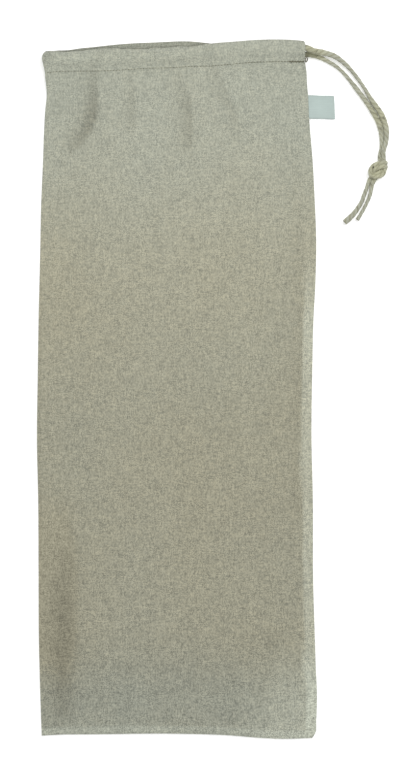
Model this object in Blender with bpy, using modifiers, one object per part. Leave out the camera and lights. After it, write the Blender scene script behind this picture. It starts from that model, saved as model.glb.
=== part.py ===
"""Long linen drawstring bag, lying flat on its back layer with the mouth towards +Y.

One cloth is folded down the left side and sewn down the right side and across the bottom. Its hem at the
mouth is turned inward and stitched, which leaves a casing that is open at the right side. One drawstring runs
round the mouth in that casing, leaves it at both of its open ends, and is tied in one overhand knot with two
tails. A small bare label, folded in half, stands out of the right seam.
Metres, +Z up. The origin is the middle of the back layer's underside, on the surface that the bag lies on.
"""

import math

import bmesh
import bpy
import numpy as np

# The cloth
WALL = 0.0010
EDGE_HEIGHT = 0.0028  # both layers, pressed together at a side or at the bottom seam
CROWN_INSIDE = 0.0150  # height of the front layer's inner face where the empty bag stands fullest
CROWN_REACH = 0.075  # from a side to where that height is reached
BOTTOM_REACH = 0.100  # the same from the bottom seam
SWELL = 0.0007  # the slow unevenness of a cloth that lies loose, the product of two waves
SWELL_WAVES = (
    # radians per metre in x and in y, phase
    (9.0, 21.0, 0.6),
    (14.0, -5.0, 1.57),
)
SIDE_FADE, BOTTOM_FADE = 0.014, 0.020  # folds run out this near to a side and to the bottom seam
SMOOTH_ANGLE = math.radians(40.0)
WELD = 1e-6  # points nearer than this become one

# The casing, in distances below the mouth's folded edge
CASING_DEPTH = 0.0214
CASING_FLAT = 0.0022  # two walls of cloth pressed together at the fold and at the stitching
CASING_FULL = 0.0071  # two walls with the cord between them
CASING_RISE = 0.005  # from the folded edge to full height
CASING_FALL_FROM, CASING_FALL = 0.0145, 0.0065
MOUTH_GAP_SIDE, MOUTH_GAP_MIDDLE = 0.0008, 0.0078
MOUTH_GAP_REACH = 0.070  # from a side to where the mouth stands fully open
MOUTH_REACH = 0.040  # the body reaches its own height this far below the stitching
TUNNEL_TOP, TUNNEL_BOTTOM = 0.0025, 0.0195
TUNNEL_FOLD = 0.0021
CORNER_ROUND, CORNER_REACH = 0.0016, 0.003
SEAM_STEP = 0.0024  # below the stitching, where the hem's own edge ends

# The outline, read along the bag. Each row is a place along the bag and the side's place across it.
LEFT_SIDE = (
    # y, x
    (0.3380, -0.1300),
    (0.3330, -0.1341),
    (0.3296, -0.1349),
    (0.3250, -0.1338),
    (0.3185, -0.1324),
    (0.3090, -0.1314),
    (0.2940, -0.1300),
    (0.2790, -0.1315),
    (0.2590, -0.1326),
    (0.2280, -0.1337),
    (0.1890, -0.1354),
    (0.1290, -0.1367),
    (0.0720, -0.1381),
    (0.0140, -0.1390),
    (-0.0510, -0.1398),
    (-0.1150, -0.1385),
    (-0.1790, -0.1382),
    (-0.2510, -0.1378),
    (-0.3050, -0.1365),
    (-0.3460, -0.1351),
)
RIGHT_SIDE = (
    # y, x
    (0.3477, 0.1270),
    (0.3450, 0.1282),
    (0.3280, 0.1282),
    (0.3190, 0.1287),
    (0.3050, 0.1294),
    (0.2940, 0.1310),
    (0.2710, 0.1324),
    (0.2250, 0.1360),
    (0.1920, 0.1377),
    (0.1490, 0.1393),
    (0.1020, 0.1383),
    (0.0730, 0.1367),
    (0.0210, 0.1354),
    (-0.0510, 0.1346),
    (-0.1070, 0.1359),
    (-0.1910, 0.1362),
    (-0.2510, 0.1380),
    (-0.2780, 0.1389),
    (-0.3090, 0.1401),
    (-0.3310, 0.1393),
    (-0.3456, 0.1377),
    (-0.3488, 0.1355),
)
# Each row is a place across the bag and the edge's place along it.
BOTTOM_EDGE = (
    # x, y
    (-0.1351, -0.3464),
    (-0.1210, -0.3456),
    (-0.0860, -0.3452),
    (0.0000, -0.3446),
    (0.0500, -0.3461),
    (0.0850, -0.3488),
    (0.1080, -0.3497),
    (0.1350, -0.3488),
)
MOUTH_FRONT = (
    # x, y
    (-0.1300, 0.3379),
    (-0.1110, 0.3372),
    (-0.1030, 0.3377),
    (-0.0880, 0.3394),
    (-0.0740, 0.3411),
    (-0.0610, 0.3408),
    (-0.0380, 0.3403),
    (-0.0290, 0.3412),
    (-0.0110, 0.3417),
    (0.0070, 0.3430),
    (0.0140, 0.3424),
    (0.0210, 0.3439),
    (0.0320, 0.3451),
    (0.0600, 0.3472),
    (0.0780, 0.3486),
    (0.0980, 0.3492),
    (0.1230, 0.3482),
    (0.1270, 0.3477),
)
MOUTH_BACK = (
    # x, y
    (-0.1300, 0.3372),
    (-0.1110, 0.3381),
    (-0.1030, 0.3397),
    (-0.0820, 0.3419),
    (-0.0700, 0.3433),
    (-0.0470, 0.3452),
    (-0.0250, 0.3461),
    (0.0130, 0.3470),
    (0.0240, 0.3460),
    (0.0320, 0.3451),
    (0.0600, 0.3460),
    (0.0980, 0.3472),
    (0.1270, 0.3462),
)
MOUTH_LEFT, MOUTH_RIGHT = -0.1300, 0.1270

# Soft troughs that the hem's gathering and the cloth's weight leave in the front layer
FOLDS = (
    # course as (x, y) points, half width, depth
    (((-0.083, 0.316), (-0.084, 0.289), (-0.090, 0.269), (-0.101, 0.244)), 0.0095, 0.0018),
    (((-0.046, 0.305), (-0.044, 0.280)), 0.0080, 0.0009),
    (((0.008, 0.313), (0.006, 0.288), (0.011, 0.245)), 0.0085, 0.0015),
    (((0.037, 0.316), (0.045, 0.288), (0.059, 0.266)), 0.0085, 0.0011),
    (((-0.122, 0.278), (-0.077, 0.278)), 0.0070, 0.0006),
    (((-0.112, -0.170), (-0.114, -0.330)), 0.0150, 0.0013),
    (((0.098, -0.251), (0.085, -0.311)), 0.0110, 0.0012),
    (((0.120, 0.240), (0.124, 0.080), (0.121, -0.120)), 0.0080, 0.0007),
)

# The drawstring
CORD_RADIUS = 0.0021
CORD_GROOVE = 0.00175  # radius in the grooves between its three plies
CORD_LAY = 0.024  # length of one turn of the plies
CORD_PLIES = 3
CORD_STEP = 0.0022
FINE_POINTS = 20  # readings of the spline in each step
CORD_GAP = 0.0008  # from the knot to a strand or a tail
CUT_POINT = 0.0006  # from a cut end to the centre line's next point
# Centre line of the strand that leaves the front layer's casing, up to the knot
STRAND_FRONT = (
    # x, y, z
    (0.1130, 0.3418, 0.0122),
    (0.1210, 0.3415, 0.0117),
    (0.1284, 0.3408, 0.0113),
    (0.1360, 0.3382, 0.0100),
    (0.1430, 0.3364, 0.0081),
    (0.1500, 0.3345, 0.0063),
    (0.1572, 0.3317, 0.0046),
    (0.1648, 0.3266, 0.0032),
    (0.1725, 0.3192, 0.0024),
    (0.1801, 0.3097, 0.0022),
    (0.1876, 0.2983, 0.0022),
    (0.1920, 0.2916, 0.0022),
    (0.1977, 0.2838, 0.0022),
    (0.2036, 0.2754, 0.0022),
    (0.2072, 0.2673, 0.0022),
    (0.2090, 0.2602, 0.0023),
    (0.2091, 0.2530, 0.0032),
    (0.2080, 0.2460, 0.0055),
    (0.2068, 0.2405, 0.0068),
    (0.2067, 0.2350, 0.0062),
)
# The same for the strand that leaves the back layer's casing
STRAND_BACK = (
    # x, y, z
    (0.1130, 0.3351, 0.0035),
    (0.1210, 0.3349, 0.0035),
    (0.1284, 0.3345, 0.0034),
    (0.1350, 0.3334, 0.0030),
    (0.1430, 0.3312, 0.0025),
    (0.1506, 0.3278, 0.0022),
    (0.1599, 0.3223, 0.0022),
    (0.1676, 0.3156, 0.0022),
    (0.1742, 0.3073, 0.0022),
    (0.1805, 0.2982, 0.0022),
    (0.1862, 0.2900, 0.0022),
    (0.1908, 0.2835, 0.0022),
    (0.1955, 0.2763, 0.0022),
    (0.2004, 0.2679, 0.0022),
    (0.2031, 0.2604, 0.0022),
    (0.2043, 0.2525, 0.0022),
    (0.2046, 0.2455, 0.0022),
    (0.2043, 0.2400, 0.0022),
    (0.2036, 0.2345, 0.0022),
)
# The two strands lie side by side through the overhand knot. Each row is the middle between them, then the
# direction from the middle to the front strand.
KNOT = (
    # x, y, z, across x, across y, across z
    (0.2047, 0.2285, 0.0042, 0.93, 0.00, 0.37),
    (0.2050, 0.2235, 0.0062, 1.00, 0.00, 0.05),
    (0.2058, 0.2185, 0.0068, 0.95, -0.30, 0.00),
    (0.2042, 0.2148, 0.0068, 0.50, -0.86, 0.00),
    (0.1995, 0.2138, 0.0070, 0.00, -1.00, 0.00),
    (0.1948, 0.2150, 0.0073, -0.45, -0.88, 0.00),
    (0.1922, 0.2184, 0.0084, -0.98, -0.10, -0.10),
    (0.1943, 0.2219, 0.0098, -0.45, 0.88, -0.10),
    (0.1996, 0.2239, 0.0110, -0.25, 0.97, 0.00),
    (0.2050, 0.2250, 0.0106, -0.20, 0.97, 0.00),
    (0.2092, 0.2243, 0.0068, 0.00, 1.00, 0.00),
    (0.2072, 0.2212, 0.0029, -0.30, 0.95, 0.00),
    (0.2016, 0.2168, 0.0023, -0.62, 0.78, 0.00),
    (0.1972, 0.2126, 0.0022, -0.80, 0.60, 0.00),
    (0.1950, 0.2097, 0.0022, -0.96, 0.26, 0.00),
)
KNOT_SPREAD = 0.00225
KNOT_CORE_CENTRE, KNOT_CORE_SIZE = (0.2005, 0.2193, 0.0064), (0.0092, 0.0068, 0.0052)
KNOT_CORE_SEGMENTS = (12, 8)
KNOT_SECTIONS = ((0.00, 0.30), (0.27, 0.55), (0.52, 0.80), (0.77, 1.00))
KNOT_STEP = 0.0026
TAIL_LEFT = (
    # x, y, z
    (0.1905, 0.2032, 0.0022),
    (0.1874, 0.1955, 0.0022),
    (0.1836, 0.1863, 0.0022),
    (0.1783, 0.1776, 0.0022),
    (0.1737, 0.1718, 0.0022),
    (0.1687, 0.1672, 0.0022),
)
TAIL_RIGHT = (
    # x, y, z
    (0.1957, 0.2015, 0.0022),
    (0.1922, 0.1932, 0.0022),
    (0.1890, 0.1856, 0.0022),
    (0.1859, 0.1787, 0.0022),
    (0.1809, 0.1703, 0.0022),
)
# Inside the casing the cord keeps these distances below the folded edge, at the left side and at the right
HIDDEN_FRONT_DROP = (0.0058, 0.0068)
HIDDEN_BACK_DROP = (0.0125, 0.0112)
HIDDEN_STEP = 0.0085
HIDDEN_GAP = 0.0008  # from its ends to the free strands
HIDDEN_TURN_FROM = 0.004  # from the turn's centre to where the straight run ends
TURN_POINTS = 9

# The label: a strip folded in half at its outer end, both ends caught in the right seam
LABEL_ROOT_Y, LABEL_END_Y = 0.2823, 0.2815  # its middle, at the seam and at the fold
LABEL_LENGTH, LABEL_WIDTH = 0.0256, 0.0228
LABEL_THICKNESS, LABEL_OPEN = 0.0009, 0.0005
LABEL_FLOOR, LABEL_GAP = 0.00015, 0.0004
LABEL_LIFT = 0.0009  # its outer end stands up this far at the middle
LABEL_CROWN = 1.3  # how far that lift falls off towards the label's corners
LABEL_ALONG, LABEL_ACROSS = 7, 6
LABEL_TURN = (-60.0, 0.0, 60.0)  # degrees, its fold's points


def smoothstep(value):
    value = np.clip(value, 0.0, 1.0)
    return value * value * (3.0 - 2.0 * value)


def mix(first, second, share):
    return first + (second - first) * share


def table_curve(rows):
    """A function that reads a table smoothly: cubics between its rows, their slopes from the neighbours."""
    places, values = np.array(sorted(rows)).T
    slopes = np.gradient(values, places)

    def read(place):
        place = np.clip(place, places[0], places[-1])
        right = np.clip(np.searchsorted(places, place), 1, len(places) - 1)
        left = right - 1
        width = places[right] - places[left]
        t = (place - places[left]) / width
        return (
            values[left] * (1 + 2 * t) * (1 - t) ** 2
            + values[right] * (3 - 2 * t) * t**2
            + slopes[left] * width * t * (1 - t) ** 2
            + slopes[right] * width * t**2 * (t - 1)
        )

    return read


left_side = table_curve(LEFT_SIDE)
right_side = table_curve(RIGHT_SIDE)
bottom_edge = table_curve(BOTTOM_EDGE)
mouth_front = table_curve(MOUTH_FRONT)
mouth_back = table_curve(MOUTH_BACK)


def natural_spline(points):
    """A smooth curve through points, natural cubics over the chord lengths: its reader and the knots."""
    points = np.asarray(points, float)
    at = np.concatenate([[0.0], np.cumsum(np.linalg.norm(np.diff(points, axis=0), axis=1))])
    steps = np.diff(at)
    rates = np.diff(points, axis=0) / steps[:, None]
    count = len(points)
    system = np.eye(count)
    inner = np.arange(1, count - 1)
    system[inner, inner - 1] = steps[:-1]
    system[inner, inner] = 2 * (steps[:-1] + steps[1:])
    system[inner, inner + 1] = steps[1:]
    target = np.zeros_like(points)
    target[1:-1] = 6 * np.diff(rates, axis=0)
    bend = np.linalg.solve(system, target)

    def read(place):
        place = np.clip(place, 0.0, at[-1])
        right = np.clip(np.searchsorted(at, place), 1, count - 1)
        left = right - 1
        width = steps[left][:, None]
        after = (place - at[left])[:, None] / width
        before = 1 - after
        return (
            before * points[left]
            + after * points[right]
            + ((before**3 - before) * bend[left] + (after**3 - after) * bend[right]) * width**2 / 6
        )

    return read, at


def even_points(read, start, end, step):
    """Points along a spline between two of its places, a step apart on the curve, one more by each end.

    The two points so close together at an end turn the cord's cut square to its course.
    """
    fine = read(np.linspace(start, end, 1 + int(FINE_POINTS * abs(end - start) / step)))
    run = np.concatenate([[0.0], np.cumsum(np.linalg.norm(np.diff(fine, axis=0), axis=1))])
    wanted = np.linspace(0.0, run[-1], 1 + max(2, round(run[-1] / step)))
    wanted = np.concatenate([wanted[:1], [CUT_POINT], wanted[1:-1], [run[-1] - CUT_POINT], wanted[-1:]])
    return np.stack([np.interp(wanted, run, fine[:, axis]) for axis in range(3)], axis=1)


def fold_depth(x, y):
    """How far the troughs lower the front layer: a bell across each fold's course, the deepest one counts."""
    depth = np.zeros_like(x)
    for course, half_width, full in FOLDS:
        course = np.array(course)
        nearest = np.full_like(x, np.inf)
        for start, end in zip(course[:-1], course[1:]):
            along = end - start
            share = ((x - start[0]) * along[0] + (y - start[1]) * along[1]) / (along @ along)
            share = np.clip(share, 0.0, 1.0)
            away = np.hypot(x - start[0] - share * along[0], y - start[1] - share * along[1])
            nearest = np.minimum(nearest, away)
        depth = np.maximum(depth, full * np.exp(-((nearest / half_width) ** 2)))
    return depth


def casing_thickness(below_fold):
    """Wall, cord room and wall: thin at the folded edge and at the stitching, full between them."""
    rise = smoothstep(below_fold / CASING_RISE)
    fall = 1.0 - smoothstep((below_fold - CASING_FALL_FROM) / CASING_FALL)
    return CASING_FLAT + (CASING_FULL - CASING_FLAT) * rise * fall


def cloth_thickness(below_fold):
    hem = casing_thickness(np.minimum(below_fold, CASING_DEPTH))
    past = smoothstep((below_fold - CASING_DEPTH) / SEAM_STEP)
    return mix(hem, WALL, past)


def front_inner_height(across, y, below_fold, above_bottom):
    """Height of the front layer's inner face. across runs from 0 at the left side to 1 at the right."""
    left, right = left_side(y), right_side(y)
    x = mix(left, right, across)
    inset = (right - left) * np.minimum(across, 1.0 - across)
    fullness = smoothstep(inset / CROWN_REACH) * smoothstep(above_bottom / BOTTOM_REACH)
    side = EDGE_HEIGHT - WALL
    first, second = (np.sin(in_x * x + in_y * y + phase) for in_x, in_y, phase in SWELL_WAVES)
    relief = SWELL * first * second - fold_depth(x, y)
    fade = smoothstep(inset / SIDE_FADE) * smoothstep(above_bottom / BOTTOM_FADE)
    body = side + (CROWN_INSIDE - side) * fullness + relief * fade
    mouth = CASING_FULL + mix(MOUTH_GAP_SIDE, MOUTH_GAP_MIDDLE, smoothstep(inset / MOUTH_GAP_REACH))
    below_stitch = np.maximum(below_fold - CASING_DEPTH, 0.0)
    return mix(mouth, body, smoothstep(below_stitch / MOUTH_REACH))


# Stations across a layer, closer together near the sides
SIDE_STATIONS = np.array([0.0, 0.010, 0.024, 0.044, 0.068])
STATIONS = np.concatenate([SIDE_STATIONS, np.linspace(0.10, 0.90, 23), 1.0 - SIDE_STATIONS[::-1]])
NOSE_ANGLES = np.radians([30.0, 60.0, 90.0, 120.0, 150.0])
# The path round the bag: the front layer from right to left, the fold at the left side, the back layer from
# left to right and, below the casing, the seam at the right side.
FRONT_COUNT = len(STATIONS)
OPEN_COUNT = 2 * FRONT_COUNT + len(NOSE_ANGLES)


def ring(front_y, back_y, below_fold, above_bottom, inward, right_inset=None):
    """Points round the bag at one height along it, moved inward from the outer face.

    front_y and back_y give each layer's place along the bag at the stations. right_inset is the casing's
    setback at its open end, or None below the casing, where the seam closes the ring at the right side.
    """
    thick = cloth_thickness(below_fold)
    front_z = front_inner_height(STATIONS, front_y, below_fold, above_bottom) + thick
    left_round = front_z[0] / 2
    left = left_side(front_y) + left_round
    if right_inset is None:
        right_round = front_z[-1] / 2
        right = right_side(front_y) - right_round
    else:
        right = right_side(front_y) - right_inset
    x = mix(left, right, STATIONS)
    front = np.stack([x, front_y, front_z - inward], axis=1)[::-1]
    back = np.stack([x, back_y, np.broadcast_to(inward, x.shape)], axis=1)

    def nose(centre_x, radius, start_y, end_y, side, top_first):
        turn = NOSE_ANGLES if top_first else NOSE_ANGLES[::-1]
        share = np.arange(1, len(turn) + 1) / (len(turn) + 1)
        reach = radius - inward
        return np.stack(
            [
                centre_x + side * reach * np.sin(turn),
                mix(start_y, end_y, share),
                radius + reach * np.cos(turn),
            ],
            axis=1,
        )

    pieces = [front, nose(left[0], left_round, front_y[0], back_y[0], -1, True), back]
    if right_inset is None:
        pieces.append(nose(right[-1], right_round, back_y[-1], front_y[-1], 1, False))
    return np.concatenate(pieces)


def across_place(share):
    return mix(MOUTH_LEFT, MOUTH_RIGHT, share)


FRONT_TOP = mouth_front(across_place(STATIONS))
BACK_TOP = mouth_back(across_place(STATIONS))
BOTTOM = bottom_edge(mix(BOTTOM_EDGE[0][0], BOTTOM_EDGE[-1][0], STATIONS))
SEAM_ROUND = 0.5 * (CASING_FULL + MOUTH_GAP_SIDE + CASING_FLAT)  # the seam's radius where the casing begins
SLIT_POWER = 5  # how quickly the casing's open end squares up above the seam
BODY_ABOVE_BOTTOM = np.array([0.0, 0.0012, 0.004, 0.010, 0.020, 0.034, 0.052])
BODY_BELOW_STITCH = np.array([0.112, 0.086, 0.066, 0.050, 0.037, 0.026, 0.016, 0.008, SEAM_STEP, 0.0])
BODY_ROWS_BETWEEN = 14
CASING_ROWS = np.array([0.0185, 0.0155, 0.0110, 0.0070, 0.0045, 0.0022, 0.0007])
BOTTOM_ROUND, BOTTOM_LIFT = 0.0008, 0.0004
BOTTOM_WALL_REACH = 0.012


def body_length():
    return np.mean(FRONT_TOP - CASING_DEPTH - BOTTOM)


def body_shares():
    """Places of the body's rows, from 0 at the bottom seam to 1 at the stitching."""
    length = body_length()
    low = BODY_ABOVE_BOTTOM / length
    high = 1.0 - BODY_BELOW_STITCH / length
    between = np.linspace(low[-1], high[0], BODY_ROWS_BETWEEN + 2)[1:-1]
    return np.concatenate([low, between, high])


def body_ring(share, inward):
    """A ring below the casing. Inside, the last rows stop a wall's thickness above the bottom edge."""
    length = body_length()
    above_bottom = share * length
    lift = 0.0
    if inward > 0.0:
        above_bottom += WALL * max(0.0, 1.0 - above_bottom / BOTTOM_WALL_REACH)
    else:
        lift = max(0.0, 1.0 - above_bottom / BODY_ABOVE_BOTTOM[1])
    share = above_bottom / length
    front_y = mix(BOTTOM, FRONT_TOP - CASING_DEPTH, share)
    back_y = mix(BOTTOM, BACK_TOP - CASING_DEPTH, share)
    below_fold = CASING_DEPTH + (1.0 - share) * length
    if inward > 0.0:
        inward = cloth_thickness(below_fold)
    points = ring(front_y, back_y, below_fold, above_bottom, inward)
    points[:, 2] = np.where(
        points[:, 2] > EDGE_HEIGHT / 2, points[:, 2] - BOTTOM_ROUND * lift, points[:, 2] + BOTTOM_LIFT * lift
    )
    return points


def casing_layer(below_fold, inward):
    """An open ring in the casing, at a distance below the folded edge and at a depth in the cloth."""
    corner = max(0.0, 1.0 - below_fold / CORNER_REACH)
    inset = SEAM_ROUND * (below_fold / CASING_DEPTH) ** SLIT_POWER + CORNER_ROUND * corner**2
    return ring(FRONT_TOP - below_fold, BACK_TOP - below_fold, below_fold, 1.0, inward, inset)


def grid_faces(rows, columns, closed):
    """Quads of a grid of points whose rows follow one another, its columns closed into a ring or not."""
    row, column = np.mgrid[0 : rows - 1, 0 : columns if closed else columns - 1]
    following = (column + 1) % columns
    low, high = row * columns, (row + 1) * columns
    return np.stack([low + column, low + following, high + following, high + column], axis=-1).reshape(-1, 4)


def bag_cloth_mesh():
    """The whole cloth as one closed surface: outer face, mouth edge, inner face and the casing's tunnel."""
    points, faces = [], []
    total = 0

    def add(rows):
        nonlocal total
        first = total
        points.append(rows.reshape(-1, 3))
        total += len(points[-1])
        return first + np.arange(len(points[-1])).reshape(rows.shape[:2])

    def strip(first, second):
        faces.extend(np.stack([first[:-1], first[1:], second[1:], second[:-1]], axis=1).tolist())

    shares = body_shares()
    body_out = add(np.stack([body_ring(share, 0.0) for share in shares]))
    body_in = add(np.stack([body_ring(share, WALL) for share in shares]))
    casing_out = add(np.stack([casing_layer(row, 0.0) for row in CASING_ROWS]))
    casing_in = add(np.stack([casing_layer(row, casing_thickness(row)) for row in CASING_ROWS]))
    fold = add(casing_layer(0.0, casing_thickness(0.0) / 2)[None])
    for sheet in (body_out, body_in):
        closed = np.concatenate([sheet, sheet[:, :1]], axis=1)
        for lower, upper in zip(closed[:-1], closed[1:]):
            strip(lower, upper)
        # The bottom edge joins the two layers station by station, and each side's few points in one face.
        front, back = sheet[0, :FRONT_COUNT][::-1], sheet[0, OPEN_COUNT - FRONT_COUNT : OPEN_COUNT]
        strip(front, back)
        faces.append(sheet[0, FRONT_COUNT - 1 : OPEN_COUNT - FRONT_COUNT + 1].tolist())
        faces.append(np.append(sheet[0, OPEN_COUNT - 1 :], sheet[0, 0]).tolist())
    # The seam's upper end, below the casing's open end
    slit = slice(OPEN_COUNT - 1, None)
    strip(np.append(body_out[-1, slit], body_out[-1, 0]), np.append(body_in[-1, slit], body_in[-1, 0]))
    hem = np.concatenate(
        [body_out[-1:, :OPEN_COUNT], casing_out, fold, casing_in[::-1], body_in[-1:, :OPEN_COUNT]]
    )
    for lower, upper in zip(hem[:-1], hem[1:]):
        strip(lower, upper)
    # The tunnel's ring follows the hem's ring row by row, closer in
    depths = np.concatenate([[CASING_DEPTH], CASING_ROWS, [0.0]])
    tunnel_rows = TUNNEL_TOP + (TUNNEL_BOTTOM - TUNNEL_TOP) * depths / CASING_DEPTH
    tunnel_rows[-1] = TUNNEL_FOLD
    rings = [casing_layer(row, WALL) for row in tunnel_rows[:-1]]
    rings.append(casing_layer(tunnel_rows[-1], casing_thickness(tunnel_rows[-1]) / 2))
    rings += [casing_layer(row, casing_thickness(row) - WALL) for row in tunnel_rows[-2::-1]]
    tunnel = add(np.stack(rings))
    closed = np.concatenate([tunnel, tunnel[:1]])
    for lower, upper in zip(closed[:-1], closed[1:]):
        strip(upper, lower)
    # The casing's two open ends, each a rim round its tunnel
    for end in (0, -1):
        rim = np.append(hem[:, end], hem[0, end])
        hole = np.append(tunnel[:, end], tunnel[0, end])
        strip(rim, hole)
    return np.concatenate(points), faces


def new_collection(name):
    collection = bpy.data.collections.new(name)
    bpy.context.scene.collection.children.link(collection)
    return collection


def material(name, colour, roughness):
    made = bpy.data.materials.new(name)
    made.use_nodes = True
    made.diffuse_color = colour
    shader = made.node_tree.nodes["Principled BSDF"]
    shader.inputs["Base Color"].default_value = colour
    shader.inputs["Roughness"].default_value = roughness
    shader.inputs["Metallic"].default_value = 0.0
    return made


def mesh_object(name, points, faces, finish, collection):
    mesh = bpy.data.meshes.new(name)
    mesh.from_pydata(points.tolist(), [], faces)
    mesh.update()
    shape = bmesh.new()
    shape.from_mesh(mesh)
    bmesh.ops.recalc_face_normals(shape, faces=shape.faces)
    shape.to_mesh(mesh)
    shape.free()
    mesh.shade_smooth()
    mesh.set_sharp_from_angle(angle=SMOOTH_ANGLE)
    made = bpy.data.objects.new(name, mesh)
    made.data.materials.append(finish)
    collection.objects.link(made)
    return made


def curve_object(name, points, collection, closed=False):
    data = bpy.data.curves.new(name, "CURVE")
    data.dimensions = "3D"
    spline = data.splines.new("POLY")
    spline.points.add(len(points) - 1)
    flat = np.concatenate([points, np.ones((len(points), 1))], axis=1)
    spline.points.foreach_set("co", flat.ravel())
    spline.use_cyclic_u = closed
    made = bpy.data.objects.new(name, data)
    collection.objects.link(made)
    return made


def ply_section(collection):
    """The cord's section: three rounded plies with a groove between each two."""
    turn = np.linspace(0.0, 2 * np.pi, 2 * CORD_PLIES, endpoint=False)
    radius = np.where(np.arange(2 * CORD_PLIES) % 2 == 0, CORD_RADIUS, CORD_GROOVE)
    points = np.stack([radius * np.cos(turn), radius * np.sin(turn), np.zeros_like(turn)], axis=1)
    made = curve_object("ply_section", points, collection, closed=True)
    made.data.dimensions = "2D"
    made.hide_render = True
    made.display_type = "WIRE"
    return made


def twisted_cord(name, points, section, finish, collection):
    """The ply section swept along a centre line and turned as it goes, with both cut ends closed."""
    curve = curve_object(name + "_course", points, collection)
    run = np.concatenate([[0.0], np.cumsum(np.linalg.norm(np.diff(points, axis=0), axis=1))])
    curve.data.splines[0].points.foreach_set("tilt", 2 * np.pi * run / CORD_LAY)
    curve.data.bevel_mode = "OBJECT"
    curve.data.bevel_object = section
    return as_mesh(curve, name, finish, collection)


def round_cord(name, points, finish, collection):
    made = curve_object(name, points, collection)
    made.data.bevel_depth = CORD_RADIUS
    made.data.bevel_resolution = 2
    made.data.use_fill_caps = True
    made.data.materials.append(finish)
    return made


def strand_route(strand, side, tail):
    """A strand's centre line with its knot and tail, and the places where knot and tail begin and end."""
    knot = np.array(KNOT)
    across = knot[:, 3:] / np.linalg.norm(knot[:, 3:], axis=1)[:, None]
    through = knot[:, :3] + side * KNOT_SPREAD * across
    read, at = natural_spline(np.concatenate([strand, through, tail]))
    return read, at[len(strand)], at[len(strand) + len(through) - 1], at[-1]


def as_mesh(source, name, finish, collection):
    """A closed mesh with the shape of a curve object, which it takes the place of."""
    graph = bpy.context.evaluated_depsgraph_get()
    mesh = bpy.data.meshes.new_from_object(source.evaluated_get(graph))
    shape = bmesh.new()
    shape.from_mesh(mesh)
    bmesh.ops.remove_doubles(shape, verts=shape.verts, dist=WELD)
    bmesh.ops.holes_fill(shape, edges=shape.edges)
    bmesh.ops.recalc_face_normals(shape, faces=shape.faces)
    shape.to_mesh(mesh)
    shape.free()
    mesh.name = name
    mesh.materials.clear()
    mesh.materials.append(finish)
    mesh.shade_smooth()
    mesh.set_sharp_from_angle(angle=SMOOTH_ANGLE)
    made = bpy.data.objects.new(name, mesh)
    made.matrix_world = source.matrix_world
    collection.objects.link(made)
    bpy.data.objects.remove(source)
    return made


def knot_object(routes, finish, parts, cutters):
    """The overhand knot as one body: both strands' turns, joined round a filled heart."""
    mesh = bpy.data.meshes.new("drawstring_knot")
    shape = bmesh.new()
    around, high = KNOT_CORE_SEGMENTS
    bmesh.ops.create_uvsphere(shape, u_segments=around, v_segments=high, radius=1.0)
    bmesh.ops.scale(shape, vec=KNOT_CORE_SIZE, verts=shape.verts)
    bmesh.ops.translate(shape, vec=KNOT_CORE_CENTRE, verts=shape.verts)
    shape.to_mesh(mesh)
    shape.free()
    knot = bpy.data.objects.new("drawstring_knot", mesh)
    mesh.materials.append(finish)
    parts.objects.link(knot)
    for strand, (read, begin, end, _) in enumerate(routes):
        begin, end = begin + CORD_GAP / 2, end - CORD_GAP / 2
        for number, (first, last) in enumerate(KNOT_SECTIONS):
            points = even_points(read, mix(begin, end, first), mix(begin, end, last), KNOT_STEP)
            name = f"knot_turn_{strand}_{number}"
            turn = as_mesh(round_cord(name + "_course", points, finish, cutters), name, finish, cutters)
            turn.hide_render = True
            turn.display_type = "WIRE"
            union = knot.modifiers.new(turn.name, "BOOLEAN")
            union.operation = "UNION"
            union.object = turn
    return knot


def hidden_route():
    """The cord's run in the casing: along the front layer, round the left fold, back along the back layer."""
    middle = CASING_FULL / 2
    centre_z = CASING_FULL + MOUTH_GAP_SIDE / 2
    reach = centre_z - middle
    width = MOUTH_RIGHT - MOUTH_LEFT
    first = 1.0 - (right_side(STRAND_FRONT[0][1]) - STRAND_FRONT[0][0] + HIDDEN_GAP) / width
    share = np.linspace(first, HIDDEN_TURN_FROM / width, round(first * width / HIDDEN_STEP))
    front_drop, back_drop = mix(*HIDDEN_FRONT_DROP, share), mix(*HIDDEN_BACK_DROP, share)
    front_y = mouth_front(across_place(share)) - front_drop
    back_y = mouth_back(across_place(share)) - back_drop
    front_z = front_inner_height(share, front_y, front_drop, 1.0) + middle
    front_x = mix(left_side(front_y) + centre_z, right_side(front_y), share)
    back_x = mix(left_side(back_y) + centre_z, right_side(back_y), share)
    front = np.stack([front_x, front_y, front_z], axis=1)
    back = np.stack([back_x, back_y, np.full_like(back_x, middle)], axis=1)[::-1]
    turn = np.linspace(0.0, np.pi, TURN_POINTS)
    turn_y = mix(front_y[-1], back_y[-1], (1 - np.cos(turn)) / 2)
    centre_x = left_side(turn_y) + centre_z
    fold = np.stack([centre_x - reach * np.sin(turn), turn_y, centre_z + reach * np.cos(turn)], axis=1)
    return np.concatenate([front, fold, back])


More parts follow.
